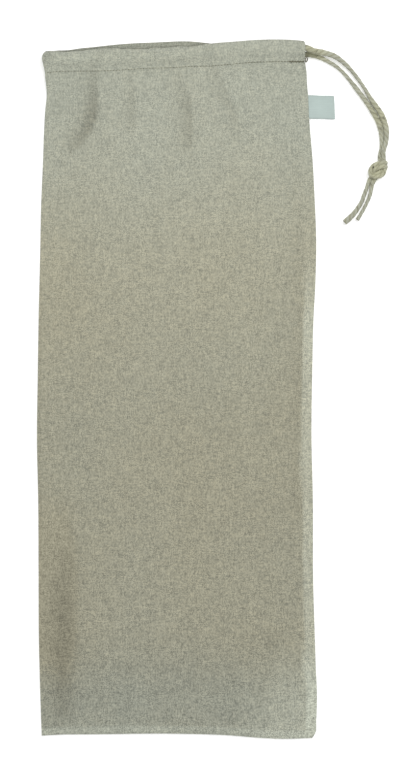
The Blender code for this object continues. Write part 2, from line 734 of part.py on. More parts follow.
def label_object(finish, parts):
    """A folded strip: a sheet that goes out from the seam, turns at its fold and comes back above itself."""
    turn_radius = (LABEL_OPEN + LABEL_THICKNESS) / 2
    turn = np.radians(LABEL_TURN)
    straight = np.linspace(0.0, LABEL_LENGTH - turn_radius, LABEL_ALONG)
    run = np.concatenate([straight, straight[-1] + turn_radius * np.cos(turn), straight[::-1]])
    height = np.concatenate([0 * straight, turn_radius * (1 + np.sin(turn)), 0 * straight + 2 * turn_radius])
    run, width = np.meshgrid(run, np.linspace(-0.5, 0.5, LABEL_ACROSS), indexing="ij")
    share = run / LABEL_LENGTH
    y = mix(LABEL_ROOT_Y, LABEL_END_Y, share) + width * LABEL_WIDTH
    x = right_side(y) + LABEL_GAP + run
    lift = LABEL_LIFT * share**2 * (1 - (LABEL_CROWN * width) ** 2)
    z = LABEL_FLOOR + LABEL_THICKNESS / 2 + height[:, None] + lift
    points = np.stack([x, y, z], axis=-1).reshape(-1, 3)
    faces = grid_faces(*run.shape, closed=False).tolist()
    made = mesh_object("side_label", points, faces, finish, parts)
    solid = made.modifiers.new("thickness", "SOLIDIFY")
    solid.thickness = LABEL_THICKNESS
    solid.offset = 0.0
    return made


def main():
    for old in list(bpy.data.objects):
        bpy.data.objects.remove(old)
    parts = new_collection("linen_bread_bag")
    cutters = new_collection("cutters")
    linen = material("linen", (0.41, 0.42, 0.33, 1.0), 0.9)
    cotton = material("cord", (0.46, 0.45, 0.35, 1.0), 0.85)
    ribbon = material("label_ribbon", (0.58, 0.66, 0.62, 1.0), 0.6)
    mesh_object("bag_cloth", *bag_cloth_mesh(), linen, parts)
    section = ply_section(cutters)
    front = strand_route(STRAND_FRONT, 1, TAIL_LEFT)
    back = strand_route(STRAND_BACK, -1, TAIL_RIGHT)
    for name, tail, (read, begin, end, last) in (
        ("drawstring_strand_front", "drawstring_tail_left", front),
        ("drawstring_strand_back", "drawstring_tail_right", back),
    ):
        strand_points = even_points(read, 0.0, begin - CORD_GAP / 2, CORD_STEP)
        tail_points = even_points(read, end + CORD_GAP / 2, last, CORD_STEP)
        twisted_cord(name, strand_points, section, cotton, parts)
        twisted_cord(tail, tail_points, section, cotton, parts)
    knot_object((front, back), cotton, parts, cutters)
    round_cord("drawstring_in_casing", hidden_route(), cotton, parts)
    label_object(ribbon, parts)


main()
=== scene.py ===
"""Finished look of a long linen drawstring bag, laid out as an add-on and run as a script.

The bag lies flat on its back layer with the mouth towards +Y. Lengths are in metres. The cloth, its
stitching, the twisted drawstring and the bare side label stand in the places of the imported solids.
"""

import bmesh
import bpy
import numpy as np
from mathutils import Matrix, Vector


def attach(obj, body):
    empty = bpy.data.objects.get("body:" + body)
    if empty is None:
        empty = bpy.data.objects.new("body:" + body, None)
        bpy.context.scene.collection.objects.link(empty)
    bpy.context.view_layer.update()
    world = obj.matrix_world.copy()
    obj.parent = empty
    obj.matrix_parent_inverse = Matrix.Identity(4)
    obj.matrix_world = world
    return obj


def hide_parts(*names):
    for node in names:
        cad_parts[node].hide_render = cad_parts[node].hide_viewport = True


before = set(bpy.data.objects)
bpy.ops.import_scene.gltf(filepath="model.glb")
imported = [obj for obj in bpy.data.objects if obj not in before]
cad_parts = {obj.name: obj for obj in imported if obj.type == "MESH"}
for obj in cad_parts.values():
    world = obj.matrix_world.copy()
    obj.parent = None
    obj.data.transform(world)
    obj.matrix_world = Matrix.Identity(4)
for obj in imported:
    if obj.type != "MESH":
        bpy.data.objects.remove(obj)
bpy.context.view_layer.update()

bl_info = {
    "name": "Linen bread bag",
    "version": (1, 0, 0),
    "blender": (4, 5, 0),
    "location": "3D View > Sidebar > Bread bag",
    "description": "Builds a flat linen drawstring bag with its stitching, cord and side label",
    "category": "Add Mesh",
}

# The outline, read along the bag: a place along it and the side's place across it
LEFT_SIDE = (
    # y, x
    (0.3380, -0.1313),
    (0.3366, -0.1328),
    (0.3345, -0.1341),
    (0.3310, -0.1348),
    (0.3250, -0.1338),
    (0.3185, -0.1324),
    (0.3090, -0.1314),
    (0.2940, -0.1300),
    (0.2790, -0.1315),
    (0.2590, -0.1326),
    (0.2280, -0.1337),
    (0.1890, -0.1354),
    (0.1290, -0.1367),
    (0.0720, -0.1381),
    (0.0140, -0.1390),
    (-0.0510, -0.1398),
    (-0.1150, -0.1385),
    (-0.1790, -0.1382),
    (-0.2510, -0.1378),
    (-0.3050, -0.1365),
    (-0.3460, -0.1351),
)
RIGHT_SIDE = (
    # y, x
    (0.3482, 0.1268),
    (0.3474, 0.1274),
    (0.3460, 0.1277),
    (0.3280, 0.1278),
    (0.3190, 0.1287),
    (0.3050, 0.1294),
    (0.2940, 0.1310),
    (0.2710, 0.1324),
    (0.2250, 0.1360),
    (0.1920, 0.1377),
    (0.1490, 0.1393),
    (0.1020, 0.1383),
    (0.0730, 0.1367),
    (0.0210, 0.1354),
    (-0.0510, 0.1346),
    (-0.1070, 0.1359),
    (-0.1910, 0.1362),
    (-0.2510, 0.1380),
    (-0.2780, 0.1389),
    (-0.3090, 0.1401),
    (-0.3310, 0.1393),
    (-0.3456, 0.1377),
    (-0.3488, 0.1355),
)
BOTTOM_EDGE = (
    # x, y
    (-0.1351, -0.3464),
    (-0.1210, -0.3456),
    (-0.0860, -0.3452),
    (0.0000, -0.3446),
    (0.0500, -0.3461),
    (0.0850, -0.3488),
    (0.1080, -0.3497),
    (0.1350, -0.3488),
)
MOUTH_FRONT = (
    # x, y
    (-0.1300, 0.3379),
    (-0.1220, 0.3373),
    (-0.1110, 0.3369),
    (-0.1030, 0.3375),
    (-0.0880, 0.3390),
    (-0.0740, 0.3403),
    (-0.0610, 0.3399),
    (-0.0380, 0.3394),
    (-0.0290, 0.3402),
    (-0.0110, 0.3409),
    (0.0070, 0.3421),
    (0.0140, 0.3417),
    (0.0210, 0.3432),
    (0.0320, 0.3449),
    (0.0600, 0.3472),
    (0.0780, 0.3486),
    (0.0980, 0.3492),
    (0.1230, 0.3482),
    (0.1270, 0.3477),
)
MOUTH_BACK = (
    # x, y
    (-0.1300, 0.3372),
    (-0.1220, 0.3380),
    (-0.1110, 0.3384),
    (-0.1030, 0.3397),
    (-0.0820, 0.3419),
    (-0.0700, 0.3433),
    (-0.0470, 0.3452),
    (-0.0250, 0.3461),
    (0.0130, 0.3470),
    (0.0240, 0.3460),
    (0.0320, 0.3451),
    (0.0600, 0.3460),
    (0.0980, 0.3472),
    (0.1270, 0.3462),
)
MOUTH_LEFT, MOUTH_RIGHT = -0.1300, 0.1270
# The loose cloth stands out a little beyond the outline, at the right side only above the label's middle
OUTSET, BACK_OUTSET, OUTSET_FROM = 0.0003, 0.0007, 0.28
SEAM_BULGE, SEAM_BULGE_SPAN = 0.0005, (0.30, 0.325)

# The pouch: how high the front layer stands over the back layer
EDGE_HEIGHT = 0.0028  # both layers, pressed together at a side or at the bottom seam
EDGE_WALL = 0.0010  # the front layer's share of that height
CROWN_INSIDE, CROWN_REACH, BOTTOM_REACH = 0.0150, 0.075, 0.100
SIDE_FADE, BOTTOM_FADE = 0.014, 0.020  # folds run out this near to a side and to the bottom seam
MOUTH_HEIGHT = 0.0071
MOUTH_GAP_SIDE, MOUTH_GAP_MIDDLE, MOUTH_GAP_REACH = 0.0008, 0.0078, 0.070
MOUTH_REACH = 0.040  # the body reaches its own height this far below the stitching

# The casing, in distances below the mouth's folded edge
CASING_FLAT = 0.0019  # two walls pressed together at the fold and at the stitching
CASING_FULL = 0.0058  # two walls with the cord between them
FRONT_DROP, BACK_DROP, CORD_ROOM = 0.0063, 0.0118, 0.0024  # where the cord lies in each layer, half its room
TUNNEL_TOP, TUNNEL_BOTTOM, TUNNEL_FOLD = 0.0025, 0.0195, 0.0021
CORNER_ROUND, CORNER_REACH = 0.0007, 0.003
SEAM_STEP = 0.0024  # below the stitching, where the hem's own edge ends
SLIT_POWER = 30  # how quickly the casing's open end squares up above the seam
SMOOTH_ANGLE = np.radians(40.0)

# Waves that a loose cloth keeps: radians per metre in x and in y, phase, height
SWELL_WAVES = ((9.0, 21.0, 0.6), (14.0, -5.0, 1.57))
SWELL = 0.0007
WRINKLES = (
    (118.0, 31.0, 0.4, 0.00016),
    (-83.0, 54.0, 2.1, 0.00014),
    (203.0, -47.0, 1.3, 0.00009),
    (61.0, 139.0, 4.0, 0.00010),
    (-171.0, 97.0, 5.2, 0.00007),
    (331.0, 23.0, 0.9, 0.00005),
)
# Small puckers that the stitching draws up: radians per metre across, phase, height
PUCKERS = ((560.0, 0.3, 0.00016), (397.0, 1.9, 0.00018), (233.0, 4.4, 0.00016))
PUCKER_REACH = 0.013
SCALLOPS = ((470.0, 0.8, 0.00026), (311.0, 2.6, 0.00022))  # the same along the mouth's edge
SCALLOPS_LEFT, SCALLOPS_RIGHT = (-0.120, -0.100), (0.030, 0.018)  # where they begin, and where they are full

# Soft troughs that the hem's gathering and the cloth's weight leave in the front layer, most of them darkened
# with painted shade as well as lowered. A negative shade paints a highlight instead.
FOLDS = (
    # course as (x, y, strength) points, half width to its left, half width to its right, depth, painted shade
    (
        (
            (-0.0812, 0.314, 0.35),
            (-0.0818, 0.290, 0.75),
            (-0.0828, 0.272, 1.00),
            (-0.0880, 0.259, 1.00),
            (-0.0995, 0.243, 0.60),
        ),
        0.0112,
        0.0026,
        0.0022,
        0.33,
    ),
    (((-0.0455, 0.308, 0.4), (-0.0440, 0.290, 1.0), (-0.0430, 0.262, 0.8)), 0.0080, 0.0020, 0.0008, 0.13),
    (
        ((0.004, 0.312, 0.3), (0.007, 0.299, 0.6), (0.0125, 0.289, 1.0), (0.0140, 0.250, 0.9)),
        0.0125,
        0.0022,
        0.0014,
        0.17,
    ),
    (
        ((0.040, 0.316, 0.5), (0.046, 0.297, 0.8), (0.056, 0.280, 0.9), (0.060, 0.258, 0.7)),
        0.0105,
        0.0030,
        0.0012,
        0.13,
    ),
    (((-0.122, 0.278, 0.6), (-0.077, 0.278, 1.0)), 0.0070, 0.0070, 0.0005, 0.04),
    (((-0.112, -0.170, 0.5), (-0.114, -0.230, 1.0), (-0.114, -0.320, 0.8)), 0.0155, 0.0120, 0.0012, 0.27),
    (((0.098, -0.251, 0.8), (0.085, -0.311, 0.8)), 0.0110, 0.0090, 0.0012, 0.06),
    (((0.120, 0.240, 0.5), (0.124, 0.080, 1.0), (0.121, -0.120, 1.0)), 0.0080, 0.0060, 0.0007, 0.06),
    (((0.035, 0.342, 1.0), (0.036, 0.327, 0.6)), 0.0070, 0.0060, 0.0003, 0.05),
    (((-0.076, 0.336, 1.0), (-0.078, 0.322, 0.6)), 0.0060, 0.0040, 0.0003, 0.05),
    # a small raised mark with a painted highlight
    (((0.0232, 0.3195, 1.0), (0.0238, 0.3130, 1.0)), 0.0012, 0.0012, -0.0004, -0.14),
    # a paler thread, painted lighter along a line
    (((0.0222, 0.3420, 0.9), (0.0228, 0.3250, 0.6)), 0.0007, 0.0007, 0.0, -0.10),
)
# The seam's allowance lies inside along the right side and the bottom and lifts the cloth over it
ALLOWANCE_WIDTH, ALLOWANCE_BLEND, ALLOWANCE_RISE = 0.0118, 0.0016, 0.00045
ALLOWANCE_TOP = (0.150, 0.060)  # it shows below the first of these places and fully below the second
# Its edge isn't straight: radians per metre, phase, height
ALLOWANCE_WAVES = ((31.0, 0.7, 0.0006), (97.0, 0.0, 0.0003))
BOTTOM_ALLOWANCE, BOTTOM_ALLOWANCE_WIDTH = 0.6, 0.00944  # how clearly it shows there, and its width
BOTTOM_ALLOWANCE_WAVES = ((43.0, 1.1, 0.0004),)
# A painted shade line in from the left fold, where the fold's edge falls into shade: how far in it lies, and
# its width
LEFT_CREASE, LEFT_CREASE_WIDTH = 0.0021, 0.0009

# The stitching that closes the casing, read across the front layer
STITCH_LINE = (
    # x, y
    (-0.1310, 0.3161),
    (-0.1210, 0.3172),
    (-0.0830, 0.3178),
    (-0.0600, 0.3185),
    (-0.0470, 0.3194),
    (-0.0290, 0.3206),
    (-0.0110, 0.3209),
    (0.0150, 0.3224),
    (0.0330, 0.3228),
    (0.0510, 0.3243),
    (0.0690, 0.3260),
    (0.0930, 0.3271),
    (0.1280, 0.3273),
)

# The linen's painted shade and painted light, as shares of its brightness: painted shade in the crease by
# the left fold, lower down, below the stitching, at the corners and along the mouth's edge, and painted light
# over the seam's allowance and at the bottom right. Each span runs from where one begins to where it is full
SHADE_CREASE, CREASE_TOP, CREASE_BOTTOM = 0.12, (0.12, 0.06), (-0.21, -0.15)
PAINTED_LIGHT_ALLOWANCE = 0.31
SHADE_BELOW, BELOW_SPAN = 0.14, (0.30, -0.15)
SHADE_LOW, GLOW_LOW_RIGHT, LOW_SPAN, LOW_RIGHT_SPAN = 0.02, 0.23, (-0.24, -0.32), (0.05, 0.11)
SHADE_ONE_LAYER, ONE_LAYER_REACH = 0.034, 0.004
SHADE_CORNER, CORNER_PLACE, CORNER_SIZE = 0.14, (-0.1300, 0.3330), 0.0070
RIGHT_CORNER, RIGHT_CORNER_SPAN = 0.5, (0.112, 0.124)
SHADE_MOUTH_EDGE, MOUTH_EDGE_WIDTH = 0.10, 0.0035
# Painted shade on the back layer seen inside the mouth, which lies lower, behind the front layer's edge,
# darkest beside that edge
LINING_PAINTED_SHADE, LINING_SHADE, LINING_SHADE_WIDTH, LINING_FROM = 0.82, 0.34, 0.0014, -0.004
LINING_HEIGHT = 1.3  # in thicknesses of the casing
# The linen's warmth at the mouth, and how it changes away from it, in troughs, in doubled cloth and low down.
# The warming away from the mouth and in the troughs is a painted warm tint that goes with the painted shade
# there
WARMTH, WARMTH_BELOW, WARM_SPAN, WARMTH_TROUGH = 0.10, 0.65, (0.30, 0.08), 0.6
WARMTH_DOUBLED, WARMTH_LOW = -0.36, -0.50
WARMTH_LEFT, WARM_LEFT_SPAN, WARM_LEFT_TOP = 0.5, (-0.095, -0.115), (-0.08, -0.18)

# The drawstring, a soft cord that is wider where it lies loose
CORD_RADIUS, CORD_STEP, CORD_SIDES = 0.0021, 0.0009, 30
CUT_END = 0.0014  # the cut ends are darker this far in
PLY_OFFSET, PLY_SIZE, GROOVE_DEPTH = 0.48, 0.52, 0.09  # shares of the radius
# Its girth varies a little along it: radians per metre, phase, share
GIRTH_WAVES = ((410.0, 1.0, 0.03), (177.0, 0.0, 0.02))
END_ROUND, END_GIRTH = 0.35, 0.88  # a cut end is rounded over this share of the radius, from this girth
STRAND_FRONT = (
    # x, y, z, radius
    (0.1130, 0.3414, 0.0108, 0.0020),
    (0.1210, 0.3417, 0.0108, 0.0020),
    (0.1255, 0.3418, 0.0108, 0.0021),
    (0.1290, 0.3412, 0.0107, 0.0029),
    (0.1359, 0.3384, 0.0100, 0.0031),
    (0.1430, 0.3369, 0.0085, 0.0031),
    (0.1492, 0.3356, 0.0068, 0.0030),
    (0.1574, 0.3329, 0.0050, 0.0027),
    (0.1654, 0.3275, 0.0036, 0.0025),
    (0.1732, 0.3200, 0.0027, 0.0021),
    (0.1810, 0.3103, 0.0023, 0.0019),
    (0.1887, 0.2989, 0.0022, 0.0019),
    (0.1924, 0.2925, 0.0024, 0.0023),
    (0.1978, 0.2843, 0.0027, 0.0027),
    (0.2039, 0.2754, 0.0030, 0.0029),
    (0.2074, 0.2673, 0.0031, 0.0030),
    (0.2092, 0.2602, 0.0030, 0.0029),
    (0.2095, 0.2523, 0.0034, 0.0026),
    (0.2085, 0.2450, 0.0052, 0.0023),
    (0.2068, 0.2400, 0.0062, 0.0025),
    (0.2066, 0.2345, 0.0060, 0.0022),
)
STRAND_BACK = (
    # x, y, z, radius
    (0.1130, 0.3349, 0.0030, 0.0020),
    (0.1210, 0.3347, 0.0030, 0.0020),
    (0.1262, 0.3347, 0.0030, 0.0020),
    (0.1300, 0.3349, 0.0030, 0.0027),
    (0.1359, 0.3337, 0.0030, 0.0026),
    (0.1426, 0.3318, 0.0026, 0.0024),
    (0.1506, 0.3279, 0.0023, 0.0021),
    (0.1597, 0.3223, 0.0022, 0.0019),
    (0.1672, 0.3154, 0.0022, 0.0019),
    (0.1740, 0.3074, 0.0022, 0.0021),
    (0.1808, 0.2986, 0.0025, 0.0025),
    (0.1870, 0.2905, 0.0026, 0.0026),
    (0.1914, 0.2842, 0.0027, 0.0027),
    (0.1962, 0.2767, 0.0027, 0.0027),
    (0.2011, 0.2680, 0.0029, 0.0029),
    (0.2036, 0.2604, 0.0028, 0.0028),
    (0.2047, 0.2525, 0.0025, 0.0025),
    (0.2049, 0.2446, 0.0021, 0.0022),
    (0.2045, 0.2400, 0.0021, 0.0022),
    (0.2032, 0.2345, 0.0021, 0.0021),
)
# Both strands lie side by side through the overhand knot: the middle between them, then the direction from
# the middle to the front strand
KNOT = (
    # x, y, z, across x, across y, across z
    (0.2050, 0.2290, 0.0042, 0.93, 0.00, 0.37),
    (0.2052, 0.2238, 0.0060, 1.00, 0.00, 0.05),
    (0.2056, 0.2192, 0.0066, 0.95, -0.30, 0.00),
    (0.2040, 0.2158, 0.0068, 0.50, -0.86, 0.00),
    (0.1997, 0.2144, 0.0070, 0.00, -1.00, 0.00),
    (0.1952, 0.2152, 0.0073, -0.55, -0.83, 0.00),
    (0.1954, 0.2186, 0.0086, -0.98, -0.10, -0.10),
    (0.1970, 0.2213, 0.0098, -0.55, 0.83, -0.10),
    (0.2005, 0.2233, 0.0109, -0.25, 0.97, 0.00),
    (0.2049, 0.2245, 0.0106, -0.20, 0.97, 0.00),
    (0.2085, 0.2242, 0.0070, 0.00, 1.00, 0.00),
    (0.2067, 0.2212, 0.0032, -0.30, 0.95, 0.00),
    (0.2018, 0.2170, 0.0023, -0.62, 0.78, 0.00),
    (0.1972, 0.2122, 0.0022, -0.80, 0.60, 0.00),
    (0.1946, 0.2084, 0.0022, -0.93, 0.37, 0.00),
)
KNOT_SPREAD, KNOT_RADIUS = 0.00185, 0.00235
TAIL_LEFT = (
    # x, y, z, radius
    (0.1899, 0.2010, 0.0022, 0.0020),
    (0.1871, 0.1936, 0.0022, 0.0021),
    (0.1850, 0.1876, 0.0022, 0.0022),
    (0.1815, 0.1818, 0.0023, 0.0023),
    (0.1778, 0.1765, 0.0026, 0.0026),
    (0.1728, 0.1712, 0.0028, 0.0028),
    (0.1676, 0.1665, 0.0028, 0.0029),
)
TAIL_RIGHT = (
    # x, y, z, radius
    (0.1942, 0.1990, 0.0022, 0.0020),
    (0.1922, 0.1916, 0.0021, 0.0019),
    (0.1894, 0.1852, 0.0021, 0.0019),
    (0.1859, 0.1785, 0.0021, 0.0018),
    (0.1825, 0.1727, 0.0021, 0.0019),
    (0.1803, 0.1691, 0.0021, 0.0020),
)
# The cord's painted shading: its brightness, the painted light that the knot and the place above it add, and
# the painted shade inside the casing's end, under the knot and on the cut ends
CORD_TONE, KNOT_GLOW, ABOVE_KNOT_GLOW = 0.975, 0.10, 0.06
EXIT_SHADE, EXIT_PLACE, EXIT_WIDTH, EXIT_SPAN = 0.26, 0.1280, 0.0040, (0.3400, 0.3340)
UNDER_KNOT_SHADE, UNDER_KNOT, UNDER_KNOT_SIZE = 0.35, (0.2028, 0.2300), 0.0035
UNDER_KNOT_SPAN = (0.0060, 0.0020)  # heights: it begins below the first and is full below the second
CUT_SHADE, CUT_SHADE_REACH = 0.40, 0.0022
KNOT_MIDDLE, KNOT_SIZE = (0.2005, 0.2180), 0.0120
ABOVE_KNOT, ABOVE_KNOT_SIZE = (0.2060, 0.2420), 0.0070
# It is warmer by the casing, in the knot and where the strands come together
WARM_EXIT_SPAN, KNOT_WARMTH = (0.158, 0.138), 1.2
STRANDS_MEET, STRANDS_MEET_SIZE = (0.2010, 0.2740), 0.0170
# Painted shade in the creases where the strands and the knot's turns press on one another
CORD_CREASES = (
    # start, end, half width, shade
    ((0.1924, 0.2876), (0.2020, 0.2734), 0.0007, 0.38),
    ((0.1924, 0.2788), (0.1989, 0.2750), 0.0006, 0.30),
    ((0.2005, 0.2658), (0.2047, 0.2566), 0.0006, 0.22),
    ((0.1950, 0.2119), (0.1921, 0.2016), 0.0007, 0.25),
    ((0.2104, 0.2239), (0.2105, 0.2228), 0.0009, 0.28),
    ((0.2019, 0.2313), (0.2021, 0.2325), 0.0008, 0.28),
    ((0.2013, 0.2279), (0.2064, 0.2290), 0.0006, 0.22),
)
# Inside the casing the cord keeps these distances below the folded edge, at the left side and at the right
HIDDEN_FRONT_DROP, HIDDEN_BACK_DROP = (0.0058, 0.0068), (0.0125, 0.0112)
HIDDEN_STEP, HIDDEN_GAP, HIDDEN_TURN_FROM, TURN_POINTS = 0.0085, 0.0008, 0.004, 9

# The label: a ribbon folded in half at its outer end, both ends caught in the right seam
LABEL_ROOT_Y, LABEL_END_Y = 0.2823, 0.2815
LABEL_LENGTH, LABEL_WIDTH = 0.0259, 0.0234
LABEL_OPEN, LABEL_FLOOR, LABEL_GAP, LABEL_LIFT = 0.0009, 0.00015, -0.0004, 0.0009
LABEL_CROWN, LABEL_CORNER = 1.3, 0.0002
LABEL_ALONG, LABEL_ACROSS, LABEL_TURNS = 36, 24, 9
LABEL_CORNER_FROM, LABEL_CORNER_POWER = 0.8, 12  # a corner is rounded outside this share of the half width
LABEL_WAVE, LABEL_WAVE_TURN = 0.0002, 9.0  # its width varies this much, with so many radians on its length
# The label's painted shading: its base tone, painted light in its middle, painted shade along its edges, and
# where that shade begins as a share of the half width
LABEL_TONE, LABEL_GLOW, LABEL_EDGE_SHADE, LABEL_EDGE_FROM = 0.97, 0.08, 0.05, 0.86

# The stitching round the casing
STITCH_RADIUS, STITCH_PITCH, STITCH_LENGTH = 0.00024, 0.0030, 0.0023
STITCH_PAST_LEFT, STITCH_PROUD = 0.0005, 0.0001  # past the mouth's left end, and out of the bag's underside
# A stitch is five rings: each one's place along it, girth and height, as shares
STITCH_RINGS = ((0.0, 0.35, -0.8), (0.16, 0.92, 0.25), (0.5, 1.0, 1.0), (0.84, 0.92, 0.25), (1.0, 0.35, -0.8))
BACKSTITCHES, BACKSTITCH_FROM, BACKSTITCH_SPREAD, BACKSTITCH_RADIUS = 15, 0.1118, 0.00125, 0.00043
BACKSTITCH_LENGTH, BACKSTITCH_STOP = 0.0013, 0.0010
ZIGZAG_TURN, ZIGZAG_RETURN = 2.4, 0.6  # radians from one backstitch to the next, and how far each comes back
# The loop of thread that hangs out of the casing's open end
THREAD_LOOP = (
    # x, y, z
    (0.1276, 0.3322, 0.0098),
    (0.1293, 0.3318, 0.0104),
    (0.1304, 0.3300, 0.0102),
    (0.1300, 0.3280, 0.0098),
    (0.1286, 0.3268, 0.0098),
    (0.1287, 0.3290, 0.0112),
    (0.1280, 0.3310, 0.0106),
)
LOOP_RADIUS, LOOP_LIFT, LOOP_OVERLAP = 0.0006, 0.3, 0.4

# The linen's weave: threads for each pitch, how far apart their runs start, and shares of the brightness
THREAD_RUN, SWAY = 0.0050, 0.0016  # how far a thread keeps its brightness, and how far it sways aside
CONTRAST_FALL = 0.14  # how much less the threads differ for each metre towards the mouth
WARP_COUNT, WEFT_COUNT, RUN_SHIFT = 1.04, 0.97, 7.0
WARP_SHARE, WEFT_SHARE, CROSSING_SHARE, SLUB_SHARE, SLUB_FLOOR = 0.58, 0.54, 1.40, 1.1, 0.13
DRIFT_SHARE, DRIFT_WARMTH, THREAD_WARMTH = 0.045, 0.7, 0.2
WEAVE_HEIGHT, FUZZ_HEIGHT = 0.00008, 0.00012
# The cord's plies: yarns round it and their slant, shares of the brightness, and the dark strokes
YARNS_ROUND, YARN_PITCH = 6, 0.0023
CREST_POWER, FIBRE_PALE, PATCH_PALE = 0.7, 0.9, 0.6
FIBRE_SHARE, PATCH_SHARE, YARN_SHARE = 0.60, 0.45, 0.08
STROKE_FLOOR, STROKE_DEPTH, WARM_STROKE_DEPTH = 0.12, 2.4, 4.0
FIBRE_HEIGHT, YARN_HEIGHT = 0.00020, 0.00007
# The ribbon's weave
RIB_PITCH, CROSS_PITCH = 0.00042, 0.00055
RIB_SHARE, CROSS_SHARE, CLOUD_SHARE, THREAD_SHARE = 0.035, 0.02, 0.10, 0.16
RIB_HEIGHT, CROSS_HEIGHT, THREAD_HEIGHT = 0.00003, 0.00002, 0.00005
RIBBON_ROUGHNESS, THREAD_ROUGHNESS = 0.48, 0.3
# The sewing thread's filaments and the table's specks
FILAMENT_SHARE, FILAMENT_HEIGHT, SPECK_SHARE = 0.6, 0.00004, 0.01

# The view
PIXEL = 0.001
VIEW_HEIGHT_PIXELS, SENSOR = 769, 36.0
VIEW_CENTRE = (0.0270, 0.0045)
VIEW_PLANE = 0.008
FLOOR_REACH, FLOOR_HEIGHT = 6.0, -0.0003
LIGHTS = (
    # name, place, size, share of the key light's power
    ("key", (0.9, 1.1, 2.2), 1.3, 1.0),
    ("fill", (-1.3, -0.2, 1.7), 1.6, 0.35),
)


def smoothstep(value):
    value = np.clip(value, 0.0, 1.0)
    return value * value * (3.0 - 2.0 * value)


def ramp(value, start, end):
    """0 at start and before it, 1 at end and past it, smooth between them. end may be the lower one."""
    return smoothstep((value - start) / (end - start))


def bell(away, width):
    """1 in the middle, falling off on both sides as a Gaussian with this width."""
    return np.exp(-((away / width) ** 2))


def distance(x, y, place):
    return np.hypot(x - place[0], y - place[1])


def from_segment(x, y, start, end):
    """Each place's share of the way along a segment, its distance from it, and its side as a sign."""
    along_x, along_y = end[0] - start[0], end[1] - start[1]
    from_x, from_y = x - start[0], y - start[1]
    share = np.clip((from_x * along_x + from_y * along_y) / (along_x**2 + along_y**2), 0.0, 1.0)
    away = np.hypot(from_x - share * along_x, from_y - share * along_y)
    return share, away, along_x * from_y - along_y * from_x


def mix(first, second, share):
    return first + (second - first) * share


def waves(rows, place):
    """The sum of sines along a line, each with its turn rate, phase and height."""
    return sum(height * np.sin(rate * place + phase) for rate, phase, height in rows)


def table_curve(rows):
    """A function that reads a table smoothly: cubics between the rows, their slopes from the neighbours."""
    places, values = np.array(sorted(rows)).T
    slopes = np.gradient(values, places)

    def read(place):
        place = np.clip(place, places[0], places[-1])
        right = np.clip(np.searchsorted(places, place), 1, len(places) - 1)
        left = right - 1
        width = places[right] - places[left]
        t = (place - places[left]) / width
        return (
            values[left] * (1 + 2 * t) * (1 - t) ** 2
            + values[right] * (3 - 2 * t) * t**2
            + slopes[left] * width * t * (1 - t) ** 2
            + slopes[right] * width * t**2 * (t - 1)
        )

    return read


left_side = table_curve([(y, x - OUTSET) for y, x in LEFT_SIDE])
right_side = table_curve(
    [
        (y, x + OUTSET * (y > OUTSET_FROM) + SEAM_BULGE * (SEAM_BULGE_SPAN[0] < y < SEAM_BULGE_SPAN[1]))
        for y, x in RIGHT_SIDE
    ]
)
bottom_edge = table_curve([(x, y - OUTSET) for x, y in BOTTOM_EDGE])
stitch_line = table_curve(STITCH_LINE)
front_edge = table_curve([(x, y + OUTSET) for x, y in MOUTH_FRONT])
mouth_back = table_curve([(x, y + BACK_OUTSET) for x, y in MOUTH_BACK])


def mouth_front(x):
    """The front layer's folded edge, with small scallops drawn up by its hem where the mouth stands open."""
    return front_edge(x) + waves(SCALLOPS, x) * ramp(x, *SCALLOPS_RIGHT) * ramp(x, *SCALLOPS_LEFT)


def natural_spline(points):
    """A smooth curve through points: natural cubics over the chord lengths. Returns its reader and knots."""
    points = np.asarray(points, float)
    at = np.concatenate([[0.0], np.cumsum(np.linalg.norm(np.diff(points, axis=0), axis=1))])
    steps = np.diff(at)
    rates = np.diff(points, axis=0) / steps[:, None]
    count = len(points)
    system = np.eye(count)
    inner = np.arange(1, count - 1)
    system[inner, inner - 1] = steps[:-1]
    system[inner, inner] = 2 * (steps[:-1] + steps[1:])
    system[inner, inner + 1] = steps[1:]
    target = np.zeros_like(points)
    target[1:-1] = 6 * np.diff(rates, axis=0)
    bend = np.linalg.solve(system, target)

    def read(place):
        place = np.clip(place, 0.0, at[-1])
        right = np.clip(np.searchsorted(at, place), 1, count - 1)
        left = right - 1
        width = steps[left][:, None]
        after = (place - at[left])[:, None] / width
        before = 1 - after
        return (
            before * points[left]
            + after * points[right]
            + ((before**3 - before) * bend[left] + (after**3 - after) * bend[right]) * width**2 / 6
        )

    return read, at


def even_points(points, step):
    """Points a step apart on the smooth curve through a few points."""
    read, at = natural_spline(points)
    fine = read(np.linspace(0.0, at[-1], 1 + int(20 * at[-1] / step)))
    run = np.concatenate([[0.0], np.cumsum(np.linalg.norm(np.diff(fine, axis=0), axis=1))])
    wanted = np.linspace(0.0, run[-1], 1 + round(run[-1] / step))
    return np.stack([np.interp(wanted, run, line) for line in fine.T], axis=1)


def fold_bells(x, y):
    """How strongly each fold shows at each place: a bell across its course, as high as its strength."""
    bells = []
    for course, to_left, to_right, _, _ in FOLDS:
        nearest = np.full(np.shape(x), np.inf)
        width, strength = np.full((2, *np.shape(x)), to_left)
        for start, end in zip(course[:-1], course[1:]):
            share, away, side = from_segment(x, y, start, end)
            width = np.where(away < nearest, np.where(side < 0.0, to_left, to_right), width)
            strength = np.where(away < nearest, mix(start[2], end[2], share), strength)
            nearest = np.minimum(nearest, away)
        bells.append(strength * bell(nearest, width))
    return bells


def fold_depth(x, y):
    """How far the troughs lower the front layer."""
    return sum(row[3] * shown for row, shown in zip(FOLDS, fold_bells(x, y)))


def fold_shade(x, y):
    """How much darker the troughs are painted: painted shade over their real relief, and a painted highlight
    where a shade is negative.
    """
    return sum(row[4] * shown for row, shown in zip(FOLDS, fold_bells(x, y)))


